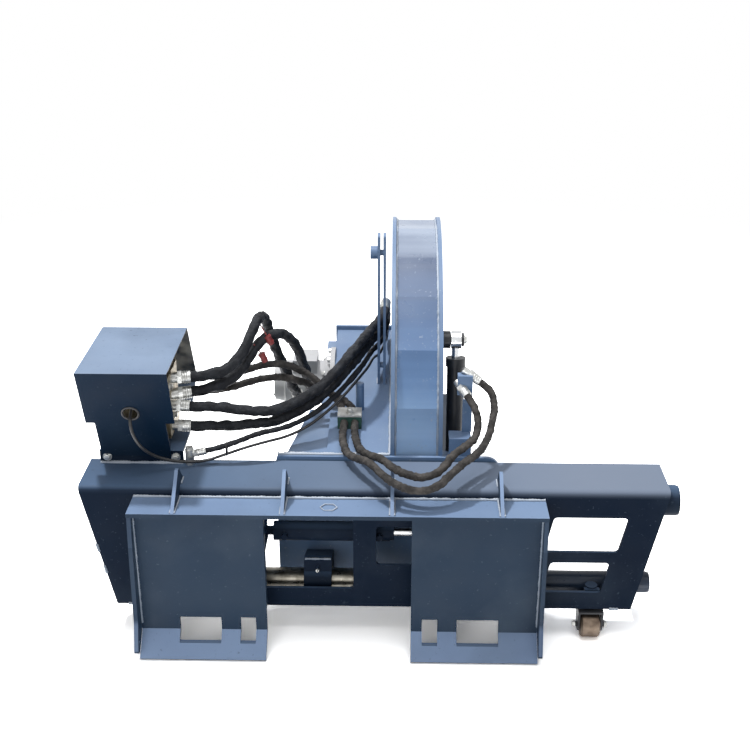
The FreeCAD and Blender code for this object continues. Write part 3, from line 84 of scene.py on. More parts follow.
# %% Routes of the hoses and of the control cable, in metres
hose_routes = {
    "supply_hose_a": (0.030, 0.917, [
        (-0.446, 0.300, 0.644), (-0.390, 0.301, 0.642), (-0.331, 0.302, 0.637),
        (-0.261, 0.308, 0.624), (-0.192, 0.322, 0.620), (-0.128, 0.350, 0.640),
        (-0.070, 0.390, 0.664), (-0.021, 0.440, 0.697), (0.021, 0.500, 0.731),
        (0.051, 0.565, 0.744), (0.069, 0.630, 0.744), (0.079, 0.700, 0.736), (0.100, 0.745, 0.739),
        (0.117, 0.790, 0.745), (0.119, 0.838, 0.745),
    ]),
    "supply_hose_b": (0.030, 0.905, [
        (-0.446, 0.300, 0.580), (-0.391, 0.301, 0.579), (-0.339, 0.303, 0.577),
        (-0.269, 0.310, 0.582), (-0.199, 0.326, 0.582), (-0.142, 0.355, 0.598),
        (-0.083, 0.395, 0.620), (-0.032, 0.445, 0.649), (0.014, 0.500, 0.684),
        (0.047, 0.565, 0.703), (0.067, 0.630, 0.707), (0.079, 0.700, 0.698), (0.100, 0.745, 0.701),
        (0.117, 0.790, 0.704), (0.119, 0.838, 0.704),
    ]),
    "drain_hose": (0.016, 0.897, [
        (-0.395, 0.235, 0.530), (-0.346, 0.238, 0.541), (-0.293, 0.246, 0.560),
        (-0.242, 0.262, 0.575), (-0.188, 0.290, 0.574), (-0.132, 0.328, 0.578),
        (-0.074, 0.370, 0.597), (-0.023, 0.425, 0.623), (0.023, 0.485, 0.654),
        (0.056, 0.555, 0.672), (0.075, 0.640, 0.672), (0.084, 0.700, 0.664), (0.100, 0.745, 0.662),
        (0.119, 0.790, 0.672), (0.120, 0.838, 0.672),
    ]),
    "control_cable": (0.009, 1.286, [
        (-0.593, 0.232, 0.690), (-0.593, 0.196, 0.686), (-0.592, 0.152, 0.668),
        (-0.583, 0.132, 0.634), (-0.566, 0.137, 0.592), (-0.537, 0.160, 0.552),
        (-0.497, 0.184, 0.523), (-0.447, 0.204, 0.508), (-0.392, 0.220, 0.505),
        (-0.335, 0.235, 0.520), (-0.278, 0.255, 0.533), (-0.221, 0.278, 0.540),
        (-0.164, 0.305, 0.543), (-0.106, 0.345, 0.556), (-0.051, 0.390, 0.583),
        (0.000, 0.440, 0.616), (0.042, 0.500, 0.646), (0.072, 0.585, 0.651), (0.081, 0.650, 0.647),
        (0.087, 0.700, 0.636), (0.103, 0.745, 0.627), (0.120, 0.790, 0.644), (0.121, 0.832, 0.644),
    ]),
    "motor_hose_a": (0.031, 0.761, [
        (-0.446, 0.335, 0.722), (-0.386, 0.347, 0.722), (-0.328, 0.361, 0.741),
        (-0.291, 0.386, 0.786), (-0.270, 0.420, 0.832), (-0.256, 0.464, 0.858),
        (-0.246, 0.514, 0.850), (-0.238, 0.552, 0.800), (-0.224, 0.582, 0.730),
        (-0.204, 0.608, 0.658), (-0.182, 0.630, 0.590), (-0.168, 0.660, 0.528),
        (-0.165, 0.704, 0.500),
    ]),
    "motor_hose_b": (0.031, 0.733, [
        (-0.446, 0.335, 0.674), (-0.386, 0.350, 0.678), (-0.325, 0.378, 0.698),
        (-0.288, 0.408, 0.740), (-0.260, 0.438, 0.782), (-0.228, 0.472, 0.800),
        (-0.190, 0.506, 0.796), (-0.160, 0.540, 0.758), (-0.142, 0.572, 0.698),
        (-0.128, 0.600, 0.630), (-0.116, 0.628, 0.562), (-0.111, 0.664, 0.514),
        (-0.112, 0.706, 0.498),
    ]),
    "cylinder_hose_a": (0.022, 1.603, [
        (-0.446, 0.384, 0.702), (-0.388, 0.389, 0.698), (-0.325, 0.412, 0.700),
        (-0.262, 0.446, 0.710), (-0.200, 0.478, 0.708), (-0.140, 0.496, 0.682),
        (-0.082, 0.496, 0.640), (-0.022, 0.490, 0.580), (0.002, 0.450, 0.551),
        (0.002, 0.402, 0.543), (0.000, 0.352, 0.531), (0.002, 0.300, 0.525), (0.016, 0.240, 0.524),
        (0.046, 0.172, 0.541), (0.084, 0.108, 0.568), (0.126, 0.050, 0.552), (0.174, 0.020, 0.533),
        (0.226, 0.011, 0.524), (0.276, 0.024, 0.531), (0.318, 0.062, 0.556), (0.354, 0.110, 0.566),
        (0.398, 0.165, 0.566), (0.428, 0.228, 0.585), (0.444, 0.284, 0.616), (0.450, 0.312, 0.650),
        (0.440, 0.332, 0.688), (0.404, 0.338, 0.714),
    ]),
    "cylinder_hose_b": (0.022, 1.442, [
        (-0.446, 0.384, 0.654), (-0.388, 0.392, 0.652), (-0.325, 0.420, 0.656),
        (-0.264, 0.456, 0.662), (-0.204, 0.488, 0.658), (-0.146, 0.508, 0.638),
        (-0.090, 0.528, 0.606), (-0.030, 0.521, 0.580), (0.018, 0.496, 0.560),
        (0.035, 0.450, 0.551), (0.035, 0.402, 0.543), (0.036, 0.352, 0.531), (0.042, 0.300, 0.527),
        (0.060, 0.240, 0.530), (0.084, 0.180, 0.548), (0.116, 0.122, 0.572), (0.150, 0.076, 0.566),
        (0.196, 0.050, 0.553), (0.246, 0.046, 0.549), (0.290, 0.068, 0.562), (0.322, 0.124, 0.582),
        (0.360, 0.176, 0.582), (0.392, 0.214, 0.592), (0.400, 0.250, 0.625), (0.388, 0.272, 0.664),
        (0.368, 0.302, 0.682),
    ]),
}
print(len(hose_routes), "hoses and cables")

# %% [markdown]
# Each hose becomes a mesh tube. A curve with a round bevel would draw one too,
# but the sleeve's pattern has to know how far along and how far round the hose
# every point lies. So the curve is turned into a mesh twice: without thickness,
# which gives its line, and with a bevel, which gives rings of points in the
# same order.

# %% From a curve to a mesh
curve_steps, bevel_steps = 14, 6


def hose_curve(name, points, radius):
    data = bpy.data.curves.new(name, "CURVE")
    data.dimensions = "3D"
    data.resolution_u = curve_steps
    spline = data.splines.new("NURBS")
    spline.points.add(len(points) - 1)
    for target, point in zip(spline.points, points):
        target.co = (*point, 1.0)
    spline.order_u = 3
    spline.use_endpoint_u = True
    data.bevel_depth = radius
    data.bevel_resolution = bevel_steps
    data.use_fill_caps = False
    return data


def mesh_of(data):
    holder = bpy.data.objects.new("holder", data)
    bpy.context.scene.collection.objects.link(holder)
    bpy.context.view_layer.update()
    shown = holder.evaluated_get(bpy.context.evaluated_depsgraph_get())
    mesh = bpy.data.meshes.new_from_object(shown)
    bpy.data.objects.remove(holder)
    return mesh


def new_object(name, mesh):
    piece = bpy.data.objects.new(name, mesh)
    bpy.context.scene.collection.objects.link(piece)
    return piece


print("a hose's curve takes", curve_steps, "steps from one corner to the next")

# %% [markdown]
# The woven sleeves aren't smooth: the loose cloth lies in folds. Folds could be
# sculpted, but noise is quicker and gives the same ones each time. It is read
# along and round the tube, its absolute value makes sharp creases, and every
# point moves outward by it. How far along and round a point lies is stored in
# an attribute, for the finish.

# %% Tube with folds
fold_height, fold_sink = 2.2, 0.42     # as shares of the wrinkle


def hose_tube(name, points, radius, wrinkle, folds):
    line = [v.co.copy() for v in mesh_of(hose_curve(name, points, 0.0)).vertices]
    mesh = mesh_of(hose_curve(name, points, radius))
    mesh.name = name
    ring = len(mesh.vertices) // len(line)
    place = mesh.attributes.new("sleeve", "FLOAT_VECTOR", "POINT")
    run = [0.0]
    for before, after in zip(line, line[1:]):
        run.append(run[-1] + (after - before).length)
    for vertex in mesh.vertices:
        step = vertex.index // ring
        turn = (vertex.index % ring) / ring
        place.data[vertex.index].vector = (run[step], turn, radius)
        angle = 2 * math.pi * turn
        spot = Vector((run[step] * folds, math.cos(angle), math.sin(angle) + len(name)))
        outward = (vertex.co - line[step]).normalized()
        vertex.co += outward * wrinkle * (fold_height * abs(noise.noise(spot)) - fold_sink)
    for face in mesh.polygons:
        face.use_smooth = True
    return new_object(name + "_sleeve", mesh), line, run[-1]


print("a fold stands out by at most", fold_height - fold_sink, "times the wrinkle")

# %% [markdown]
# Seven hoses and a cable lead from the valve on the frame to the carriage,
# which slides. A hose that rode only one of the two would tear off the other.
# The cable has a smooth cover without folds,
# and the thin hoses of the depth cylinder have finer folds than the thick ones.

# %% Hoses and cable
wrinkle_share = 0.11               # of the diameter
coarse_folds, fine_folds = 32, 75  # steps of the noise per metre
hoses = {}
for name, (diameter, length, points) in hose_routes.items():
    wrinkle = 0.0 if name == "control_cable" else diameter * wrinkle_share
    folds = fine_folds if name.startswith("cylinder") else coarse_folds
    hose, line, reach = hose_tube(name, points, diameter / 2, wrinkle, folds)
    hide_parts(name)
    hoses[name] = hose
    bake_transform(hose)
    print(name, "spline", round(reach, 3), "m, tube", length, "m")

# %% [markdown]
# A finish is a small net of nodes, and four kinds of node do most of the work:
# one computes, one mixes two tones, one spreads a range of values over 0 to 1,
# and one tells what a ray is for. The last is needed for the background. It has
# to look white, but a floor and a sky that bright would light the machine from
# all sides and wash out its dark coats. So both have two values: one for rays
# that show the background, directly, mirrored or through glass, and a dimmer
# one for the rays that only carry light.

# %% Nodes that compute, mix and spread
def node_material(name):
    material = bpy.data.materials.new(name)
    material.use_nodes = True
    nodes = material.node_tree.nodes
    return material, nodes, material.node_tree.links, nodes["Principled BSDF"]


def computed(nodes, links, operation, *values, clamp=False):
    # Each value is a number or another node's output.
    step = nodes.new("ShaderNodeMath")
    step.operation = operation
    step.use_clamp = clamp
    for socket, value in zip(step.inputs, values):
        if isinstance(value, float):
            socket.default_value = value
        else:
            links.new(value, socket)
    return step.outputs[0]


def mixed(nodes, links, share, first, second, way="MIX"):
    # Each tone is three numbers or another node's output.
    blend = nodes.new("ShaderNodeMix")
    blend.data_type = "RGBA"
    blend.blend_type = way
    links.new(share, blend.inputs["Factor"])
    for socket, value in ((blend.inputs[6], first), (blend.inputs[7], second)):
        if isinstance(value, tuple):
            socket.default_value = (*value, 1)
        else:
            links.new(value, socket)
    return blend.outputs[2]


def spanned(nodes, links, value, low, high, way="LINEAR"):
    # 0 up to the low value and 1 from the high one on.
    span = nodes.new("ShaderNodeMapRange")
    span.interpolation_type = way
    span.inputs["From Min"].default_value = low
    span.inputs["From Max"].default_value = high
    links.new(value, span.inputs["Value"])
    return span.outputs["Result"]


def seeing_rays(nodes, links):
    # 1 for a ray that shows the background and 0 for one that carries light.
    rays = nodes.new("ShaderNodeLightPath")
    seeing = rays.outputs["Is Camera Ray"]
    for kind in ("Is Glossy Ray", "Is Transmission Ray"):
        seeing = computed(nodes, links, "MAXIMUM", seeing, rays.outputs[kind])
    return seeing


def white_where_seen(nodes, links, dim):
    return computed(nodes, links, "MULTIPLY_ADD", seeing_rays(nodes, links), 1.0 - dim, dim)


print("the background shows in camera, glossy and transmission rays")

# %% [markdown]
# The machine stands on a pale studio floor. A floor that is only white would
# lose the shadow, so the floor near the machine is a matt surface, which keeps
# a soft shadow, and further out it fades into an even white that meets the sky
# without a line.

# %% Floor
floor_radius = 45.0
tone_for_light, tone_seen = 0.80, 2.6
far_floor_light = 0.4
shadow_until, white_from = 1.8, 5.0     # metres from the middle


def floor_finish():
    material, nodes, links, shader = node_material("studio_floor")
    shader.inputs["Roughness"].default_value = 0.9
    tone = mixed(nodes, links, seeing_rays(nodes, links),
                 (tone_for_light,) * 3, (tone_seen,) * 3)
    links.new(tone, shader.inputs["Base Color"])
    place = nodes.new("ShaderNodeTexCoord")
    distance = nodes.new("ShaderNodeVectorMath")
    distance.operation = "LENGTH"
    links.new(place.outputs["Object"], distance.inputs[0])
    white = nodes.new("ShaderNodeEmission")
    links.new(white_where_seen(nodes, links, far_floor_light), white.inputs["Strength"])
    far_out = spanned(nodes, links, distance.outputs["Value"],
                      shadow_until, white_from, "SMOOTHSTEP")
    join = nodes.new("ShaderNodeMixShader")
    links.new(far_out, join.inputs["Fac"])
    links.new(shader.outputs["BSDF"], join.inputs[1])
    links.new(white.outputs["Emission"], join.inputs[2])
    links.new(join.outputs["Shader"], nodes["Material Output"].inputs["Surface"])
    return material


shape = bmesh.new()
bmesh.ops.create_circle(shape, cap_ends=True, segments=96, radius=floor_radius)
mesh = bpy.data.meshes.new("floor")
shape.to_mesh(mesh)
shape.free()
mesh.materials.append(floor_finish())
floor = new_object("floor", mesh)
print("the floor reaches", floor_radius, "m out and is white from", white_from, "m on")

# %% [markdown]
# One small lamp stands high behind the machine at the left, like the sun of
# the photograph: it makes level faces pale and leaves upright faces in front
# dark. Soft light comes from above, and a little from the front, so that the
# dark faces keep their blue. Disc-shaped area lamps were chosen, because their
# size sets how soft a shadow is.

# %% Lamps and sky
lit_spot = (0.1, 0.4, 0.3)
sky_light = 0.38


def add_lamp(name, place, target, size, power):
    data = bpy.data.lights.new(name, "AREA")
    data.shape = "DISK"
    data.size = size
    data.energy = power
    lamp = bpy.data.objects.new(name, data)
    lamp.location = place
    way = Vector(target) - Vector(place)
    lamp.rotation_euler = way.to_track_quat("-Z", "Y").to_euler()
    bpy.context.scene.collection.objects.link(lamp)
    print("lamp", name, power, "W")


add_lamp("sun", (-1.7, 1.5, 6.0), lit_spot, size=0.45, power=300)
add_lamp("overhead", (0.3, -0.4, 5.5), lit_spot, size=4.0, power=120)
add_lamp("front_fill", (-1.5, -5.0, 2.2), (0.0, 0.2, 0.4), size=3.0, power=60)
world = bpy.data.worlds.new("pale_sky")
world.use_nodes = True
bpy.context.scene.world = world
nodes, links = world.node_tree.nodes, world.node_tree.links
sky = nodes["Background"]
sky.inputs["Color"].default_value = (1, 1, 1, 1)
links.new(white_where_seen(nodes, links, sky_light), sky.inputs["Strength"])
bpy.context.scene.view_settings.view_transform = "Standard"
print("the sky gives", sky_light, "of its brightness as light")

# %% [markdown]
# Paint on plate steel is never one flat colour. Patterns could come from
# pictures, but then they would slide or stretch on bent plates. Noise that is
# read from Object coordinates needs no picture, and it stays on the steel when
# a part moves. The same coordinates tell where on the machine a point lies,
# and the normal tells which way its face looks.

# %% Reading a place, and cloudy noise
def coordinate(nodes, links, kind, axis):
    # One number of the place, "Object", or of the way a face looks, "Normal".
    place = nodes.new("ShaderNodeTexCoord")
    parts = nodes.new("ShaderNodeSeparateXYZ")
    links.new(place.outputs[kind], parts.inputs["Vector"])
    return parts.outputs[axis]


def along(nodes, links, axis, low, high):
    # 0 up to the low end and 1 from the high end on, along one axis.
    return spanned(nodes, links, coordinate(nodes, links, "Object", axis), low, high)


def mottled(nodes, links, scale, detail, low, high):
    place = nodes.new("ShaderNodeTexCoord")
    cloud = nodes.new("ShaderNodeTexNoise")
    cloud.inputs["Scale"].default_value = scale
    cloud.inputs["Detail"].default_value = detail
    links.new(place.outputs["Object"], cloud.inputs["Vector"])
    return spanned(nodes, links, cloud.outputs["Fac"], low, high)


def bumped(nodes, links, shader, height, strength, distance):
    bump = nodes.new("ShaderNodeBump")
    bump.inputs["Strength"].default_value = strength
    bump.inputs["Distance"].default_value = distance
    links.new(height, bump.inputs["Height"])
    links.new(bump.outputs["Normal"], shader.inputs["Normal"])


def roughened(nodes, links, shader, share, smooth_end, rough_end):
    rough = nodes.new("ShaderNodeMapRange")
    rough.inputs["To Min"].default_value = smooth_end
    rough.inputs["To Max"].default_value = rough_end
    links.new(share, rough.inputs["Value"])
    links.new(rough.outputs["Result"], shader.inputs["Roughness"])


print("noise, places and normals can be read")

# %% [markdown]
# In the photograph a coat's tone follows how much its face looks up: level
# plates are pale, upright ones dark. That is light and shade, painted here into
# the colour: a colour ramp over the normal's height paints level faces as lit
# and upright ones as shaded. The hood's band is bent in flat facets, where the
# normal would jump from one to the next, so its painted light and shade runs
# over the height above the hood's centre. Level streaks of noise stand in for
# the sky's cloudy reflection, as a painted reflection.

# %% Painted light and shade by the way a face looks
hood_centre_y, hood_centre_z = 0.831, 0.488
hood_top_z = 1.030
streak_sway = 0.20


def facing_up(nodes, links):
    # 0 on an upright face and 1 on a level one.
    return coordinate(nodes, links, "Normal", "Z")


def round_the_hood(nodes, links):
    level = nodes.new("ShaderNodeCombineXYZ")
    links.new(coordinate(nodes, links, "Object", "Z"), level.inputs["Z"])
    streaks = nodes.new("ShaderNodeTexNoise")
    streaks.inputs["Scale"].default_value = 34.0
    streaks.inputs["Detail"].default_value = 3.0
    links.new(level.outputs["Vector"], streaks.inputs["Vector"])
    share = along(nodes, links, "Z", hood_centre_z, hood_top_z)
    swayed = computed(nodes, links, "MULTIPLY_ADD", streaks.outputs["Fac"], streak_sway, share)
    return computed(nodes, links, "SUBTRACT", swayed, streak_sway / 2)


def toned(nodes, links, share, steps):
    ramp = nodes.new("ShaderNodeValToRGB")
    stops = ramp.color_ramp.elements
    while len(stops) < len(steps):
        stops.new(0.5)
    for stop, (position, tone) in zip(stops, steps):
        stop.position = position
        stop.color = (*tone, 1)
    links.new(share, ramp.inputs["Fac"])
    return ramp.outputs["Color"]


print("the band's tones run over", round(hood_top_z - hood_centre_z, 3), "m of height")

# %% [markdown]
# The paint is a satin coat with a faint orange peel. Hands and oil left darker
# clouds on it, and dust a thin film and small specks. Each is one size of
# noise, so that they overlap as they do on a used machine. A fine noise gives
# the orange peel as a bump.

# %% Plate paint
handled_shade = (0.78, 0.79, 0.82)
film_share = 0.45


def plate_paint(name, steps, dust, rough, shine=0.35, measure=facing_up):
    material, nodes, links, shader = node_material(name)
    clouds = mottled(nodes, links, scale=2.6, detail=5, low=0.38, high=0.70)
    # the ramp of tones over the measure is painted light and shade: pale where a face would be
    # lit, dark where it would be shaded
    coat = mixed(nodes, links, clouds, toned(nodes, links, measure(nodes, links), steps),
                 handled_shade, "MULTIPLY")
    patches = mottled(nodes, links, scale=3.4, detail=9, low=0.50, high=0.80)
    film = computed(nodes, links, "MULTIPLY", patches, film_share)
    dusty = mixed(nodes, links, film, coat, dust)
    specks = mottled(nodes, links, scale=95.0, detail=8, low=0.64, high=0.84)
    links.new(mixed(nodes, links, specks, dusty, dust), shader.inputs["Base Color"])
    wear = mottled(nodes, links, scale=9.0, detail=5, low=0.3, high=0.7)
    roughened(nodes, links, shader, wear, rough - 0.07, rough + 0.13)
    shader.inputs["Specular IOR Level"].default_value = shine
    peel = mottled(nodes, links, scale=420.0, detail=2, low=0.2, high=0.8)
    bumped(nodes, links, shader, peel, strength=0.10, distance=0.0008)
    return material


print("the dust film covers up to", film_share, "of the coat")

# %% [markdown]
# The machine is blue all over, but the photograph shows it in several tones:
# the carriage and the hood are light, the hitch is darker, and the frame and
# the valve cover are nearly navy. These coats are lit and shaded copies of the
# one blue paint, so the differences between them are painted light and shade.
# Each gets its own ramp, from the tone of an upright face to that of a level
# one, which paints light and shade too. Welds get a paler coat. The wheel, the
# cylinder and the castings have coats of their own, with the same painted
# light and shade.

# %% The coats, with painted light and shade
pale_dust = (0.30, 0.36, 0.44)
blue_paint = plate_paint(
    "blue_paint", [(0.05, (0.115, 0.195, 0.335)), (0.95, (0.165, 0.240, 0.375))],
    dust=pale_dust, rough=0.38)
# the band's ramp is painted light and shade: a lit foot, a shaded middle and a pale lit top
band_paint = plate_paint(
    "band_paint", [(0.05, (0.290, 0.460, 0.710)), (0.42, (0.100, 0.200, 0.385)),
                   (0.70, (0.060, 0.122, 0.250)), (0.91, (0.088, 0.122, 0.200)),
                   (1.00, (0.32, 0.37, 0.46))],
    dust=pale_dust, rough=0.30, shine=0.5, measure=round_the_hood)
# the hitch's coat is the blue paint painted as if in shade
hitch_shade_paint = plate_paint(
    "hitch_shade_paint", [(0.05, (0.020, 0.039, 0.070)), (0.60, (0.270, 0.370, 0.560)),
                    (0.95, (0.175, 0.250, 0.385))],
    dust=(0.08, 0.11, 0.15), rough=0.42, shine=0.12)
# the frame's coat is the blue paint painted as if in deep shade
deep_shade_paint = plate_paint(
    "deep_shade_paint", [(0.05, (0.004, 0.011, 0.026)), (0.60, (0.018, 0.030, 0.055)),
                   (1.00, (0.080, 0.128, 0.210))],
    dust=(0.05, 0.07, 0.10), rough=0.44, shine=0.05)
# the cover's coat is the blue paint painted as if in deep shade, pale only on level faces
cover_paint = plate_paint(
    "cover_paint", [(0.40, (0.005, 0.017, 0.039)), (0.95, (0.190, 0.250, 0.350))],
    dust=(0.04, 0.06, 0.09), rough=0.40, shine=0.06)
weld_paint = plate_paint(
    "weld_paint", [(0.0, (0.27, 0.33, 0.41)), (1.0, (0.46, 0.51, 0.58))],
    dust=(0.48, 0.50, 0.52), rough=0.36)
wheel_paint = plate_paint(
    "wheel_paint", [(0.05, (0.060, 0.080, 0.115)), (0.95, (0.12, 0.14, 0.17))],
    dust=(0.16, 0.16, 0.15), rough=0.5)
black_paint = plate_paint(
    "black_paint", [(0.05, (0.012, 0.014, 0.018)), (0.95, (0.030, 0.032, 0.036))],
    dust=(0.06, 0.06, 0.06), rough=0.34)
cast_paint = plate_paint(
    "cast_paint", [(0.05, (0.38, 0.39, 0.39)), (0.95, (0.50, 0.50, 0.50))],
    dust=(0.24, 0.24, 0.22), rough=0.5)
print("nine coats are mixed")

# %% [markdown]
# Two coats change from place to place. On the frame's level top a painted
# reflection makes the coat paler, more so towards the right end. Inside the
# valve cover the rear flap's inner face gets a painted reflection, a pale grey
# in patches. Each is one more tone that is laid over the coat. Its share is a
# product of smaller shares, one for each condition: here level, here high up,
# here far to the right.

# %% Painted reflections on the frame's top and inside the cover
def lay_over(material, share, tone):
    nodes, links = material.node_tree.nodes, material.node_tree.links
    base = nodes["Principled BSDF"].inputs["Base Color"]
    links.new(mixed(nodes, links, share, base.links[0].from_socket, tone), base)


# painted reflection on the frame's level top, paler towards the right end
most_sheen = 0.85
nodes, links = deep_shade_paint.node_tree.nodes, deep_shade_paint.node_tree.links
rightward = computed(nodes, links, "MULTIPLY", along(nodes, links, "X", -0.60, 0.70), most_sheen)
level_sheen = computed(nodes, links, "MULTIPLY", rightward, facing_up(nodes, links), clamp=True)
on_top = computed(nodes, links, "MULTIPLY", level_sheen, along(nodes, links, "Z", 0.466, 0.486))
lay_over(deep_shade_paint, on_top, (0.190, 0.225, 0.290))

# painted reflection on the inner face of the cover's rear flap
nodes, links = cover_paint.node_tree.nodes, cover_paint.node_tree.links
patches = mottled(nodes, links, scale=13.0, detail=3, low=0.30, high=0.62)
flap_reflection = computed(nodes, links, "MULTIPLY", along(nodes, links, "Y", 0.466, 0.482), patches)
looks_in = computed(nodes, links, "LESS_THAN", coordinate(nodes, links, "Normal", "Y"), -0.5)
lay_over(cover_paint, computed(nodes, links, "MULTIPLY", flap_reflection, looks_in), (0.46, 0.46, 0.44))
print("laid over", deep_shade_paint.name, "and", cover_paint.name)

# %% [markdown]
# Bare metals differ in colour, in gloss and in their marks. Hard chrome is
# smooth and bright, and zinc plating duller, with a yellow tint on the valve
# block. The greased slide bar carries streaks, and the picks are forged, so
# they are dark and rough. One function makes them all, from two tones that a
# noise mixes. The same noise, three times finer, varies the gloss, and eight
# times finer it gives the grain.

# %% Bare metals
def bare_metal(name, tone, second, rough, scale, depth):
    material, nodes, links, shader = node_material(name)
    cloud = mottled(nodes, links, scale, detail=6, low=0.35, high=0.68)
    links.new(mixed(nodes, links, cloud, tone, second), shader.inputs["Base Color"])
    shader.inputs["Metallic"].default_value = 1.0
    wear = mottled(nodes, links, scale * 3, detail=4, low=0.3, high=0.75)
    roughened(nodes, links, shader, wear, rough, min(1.0, rough + 0.18))
    shader.inputs["Specular IOR Level"].default_value = 0.35
    grain = mottled(nodes, links, scale * 8, detail=3, low=0.2, high=0.8)
    bumped(nodes, links, shader, grain, 0.25, depth)
    return material


zinc = bare_metal("zinc", (0.62, 0.63, 0.62), (0.45, 0.45, 0.43),
                  rough=0.32, scale=55.0, depth=0.0004)
chrome = bare_metal("chrome", (0.78, 0.79, 0.80), (0.66, 0.68, 0.70),
                    rough=0.08, scale=14.0, depth=0.0001)
greased = bare_metal("greased_steel", (0.38, 0.36, 0.31), (0.11, 0.10, 0.08),
                     rough=0.26, scale=26.0, depth=0.0005)
yellow_zinc = bare_metal("yellow_zinc", (0.36, 0.30, 0.20), (0.20, 0.165, 0.11),
                         rough=0.36, scale=45.0, depth=0.0005)
bronze = bare_metal("bronze", (0.55, 0.38, 0.18), (0.35, 0.24, 0.12),
                    rough=0.35, scale=40.0, depth=0.0004)
forged = bare_metal("forged_steel", (0.30, 0.29, 0.28), (0.16, 0.13, 0.11),
                    rough=0.42, scale=60.0, depth=0.0010)
roller_steel = bare_metal("roller_steel", (0.200, 0.155, 0.120), (0.085, 0.062, 0.048),
                          rough=0.45, scale=34.0, depth=0.0010)
print("seven metals are ready")

# %% [markdown]
# The lower slide bar is bare where the sleeves run on it, and turns dark navy
# and not metallic towards its right end. Both are one solid, so one finish
# changes along X: the navy's share is laid over the colour, and taken off the
# metallic value.

# %% A slide bar that turns dark at its end
nodes, links = greased.node_tree.nodes, greased.node_tree.links
navy_share = along(nodes, links, "X", 0.44, 0.54)
lay_over(greased, navy_share, (0.020, 0.034, 0.062))
links.new(computed(nodes, links, "SUBTRACT", 1.0, navy_share),
          nodes["Principled BSDF"].inputs["Metallic"])
print(greased.name, "turns into paint from X 0.44 m to 0.54 m")

# %% [markdown]
# Plugs, dust caps and the clamp are moulded plastic: one colour, slightly paler
# in clouds, with a fine grain. Nothing more would show at their size.

# %% Plastics
def moulded(name, tone, rough):
    material, nodes, links, shader = node_material(name)
    paler = tuple(min(1.0, c * 1.5 + 0.01) for c in tone)
    cloud = mottled(nodes, links, scale=70.0, detail=5, low=0.4, high=0.7)
    links.new(mixed(nodes, links, cloud, tone, paler), shader.inputs["Base Color"])
    shader.inputs["Roughness"].default_value = rough
    grain = mottled(nodes, links, scale=600.0, detail=2, low=0.2, high=0.8)
    bumped(nodes, links, shader, grain, strength=0.15, distance=0.0004)
    return material


black_plastic = moulded("black_plastic", (0.018, 0.018, 0.020), 0.5)
green_plastic = moulded("green_plastic", (0.010, 0.050, 0.036), 0.45)
red_plastic = moulded("red_plastic", (0.17, 0.018, 0.018), 0.45)
cable_cover = moulded("cable_cover", (0.012, 0.012, 0.014), 0.38)
print("four plastics are ready")

# %% [markdown]
# The hoses wear a sleeve of woven nylon against rubbing. Its threads cross on a
# slant, so two waves that run along and round the hose make the weave. They
# have to follow every bend, so they are read from the sleeve attribute that was
# stored with the tube. A coarse noise under them stands for small creases.

# %% The woven sleeve
threads_round = 14
waves_along = 1900.0     # radians per metre
weave_share = 0.16


def woven_sleeve(name, tone, second, rough):
    material, nodes, links, shader = node_material(name)
    place = nodes.new("ShaderNodeAttribute")
    place.attribute_name = "sleeve"
    parts = nodes.new("ShaderNodeSeparateXYZ")
    links.new(place.outputs["Vector"], parts.inputs["Vector"])
    waves = []
    for lean in (1.0, -1.0):
        slant = computed(nodes, links, "MULTIPLY", parts.outputs["Y"],
                         lean * 2 * math.pi * threads_round)
        total = computed(nodes, links, "MULTIPLY_ADD", parts.outputs["X"], waves_along, slant)
        waves.append(computed(nodes, links, "SINE", total))
    weave = computed(nodes, links, "MAXIMUM", *waves)
    cloud = mottled(nodes, links, scale=30.0, detail=5, low=0.40, high=0.72)
    links.new(mixed(nodes, links, cloud, tone, second), shader.inputs["Base Color"])
    shader.inputs["Roughness"].default_value = rough
    shader.inputs["Specular IOR Level"].default_value = 0.25
    creases = mottled(nodes, links, scale=62.0, detail=3, low=0.40, high=0.60)
    relief = computed(nodes, links, "MULTIPLY_ADD", weave, weave_share, creases)
    bumped(nodes, links, shader, relief, strength=0.60, distance=0.0040)
    return material


black_sleeve = woven_sleeve("black_sleeve", (0.006, 0.007, 0.010), (0.021, 0.024, 0.030), 0.58)
brown_sleeve = woven_sleeve("brown_sleeve", (0.030, 0.028, 0.027), (0.098, 0.090, 0.084), 0.7)
print("sleeves of", threads_round, "threads are ready")

# %% [markdown]
# Each solid takes its finish by its name. The frame and the cover have the
# darkest coat, painted as deep shade, the hitch a middle one, painted as shade,
# and the hood and its carriage the lightest, painted as lit. A table of names
# is easy to read and to change, and the count below shows whether one was left
# out.

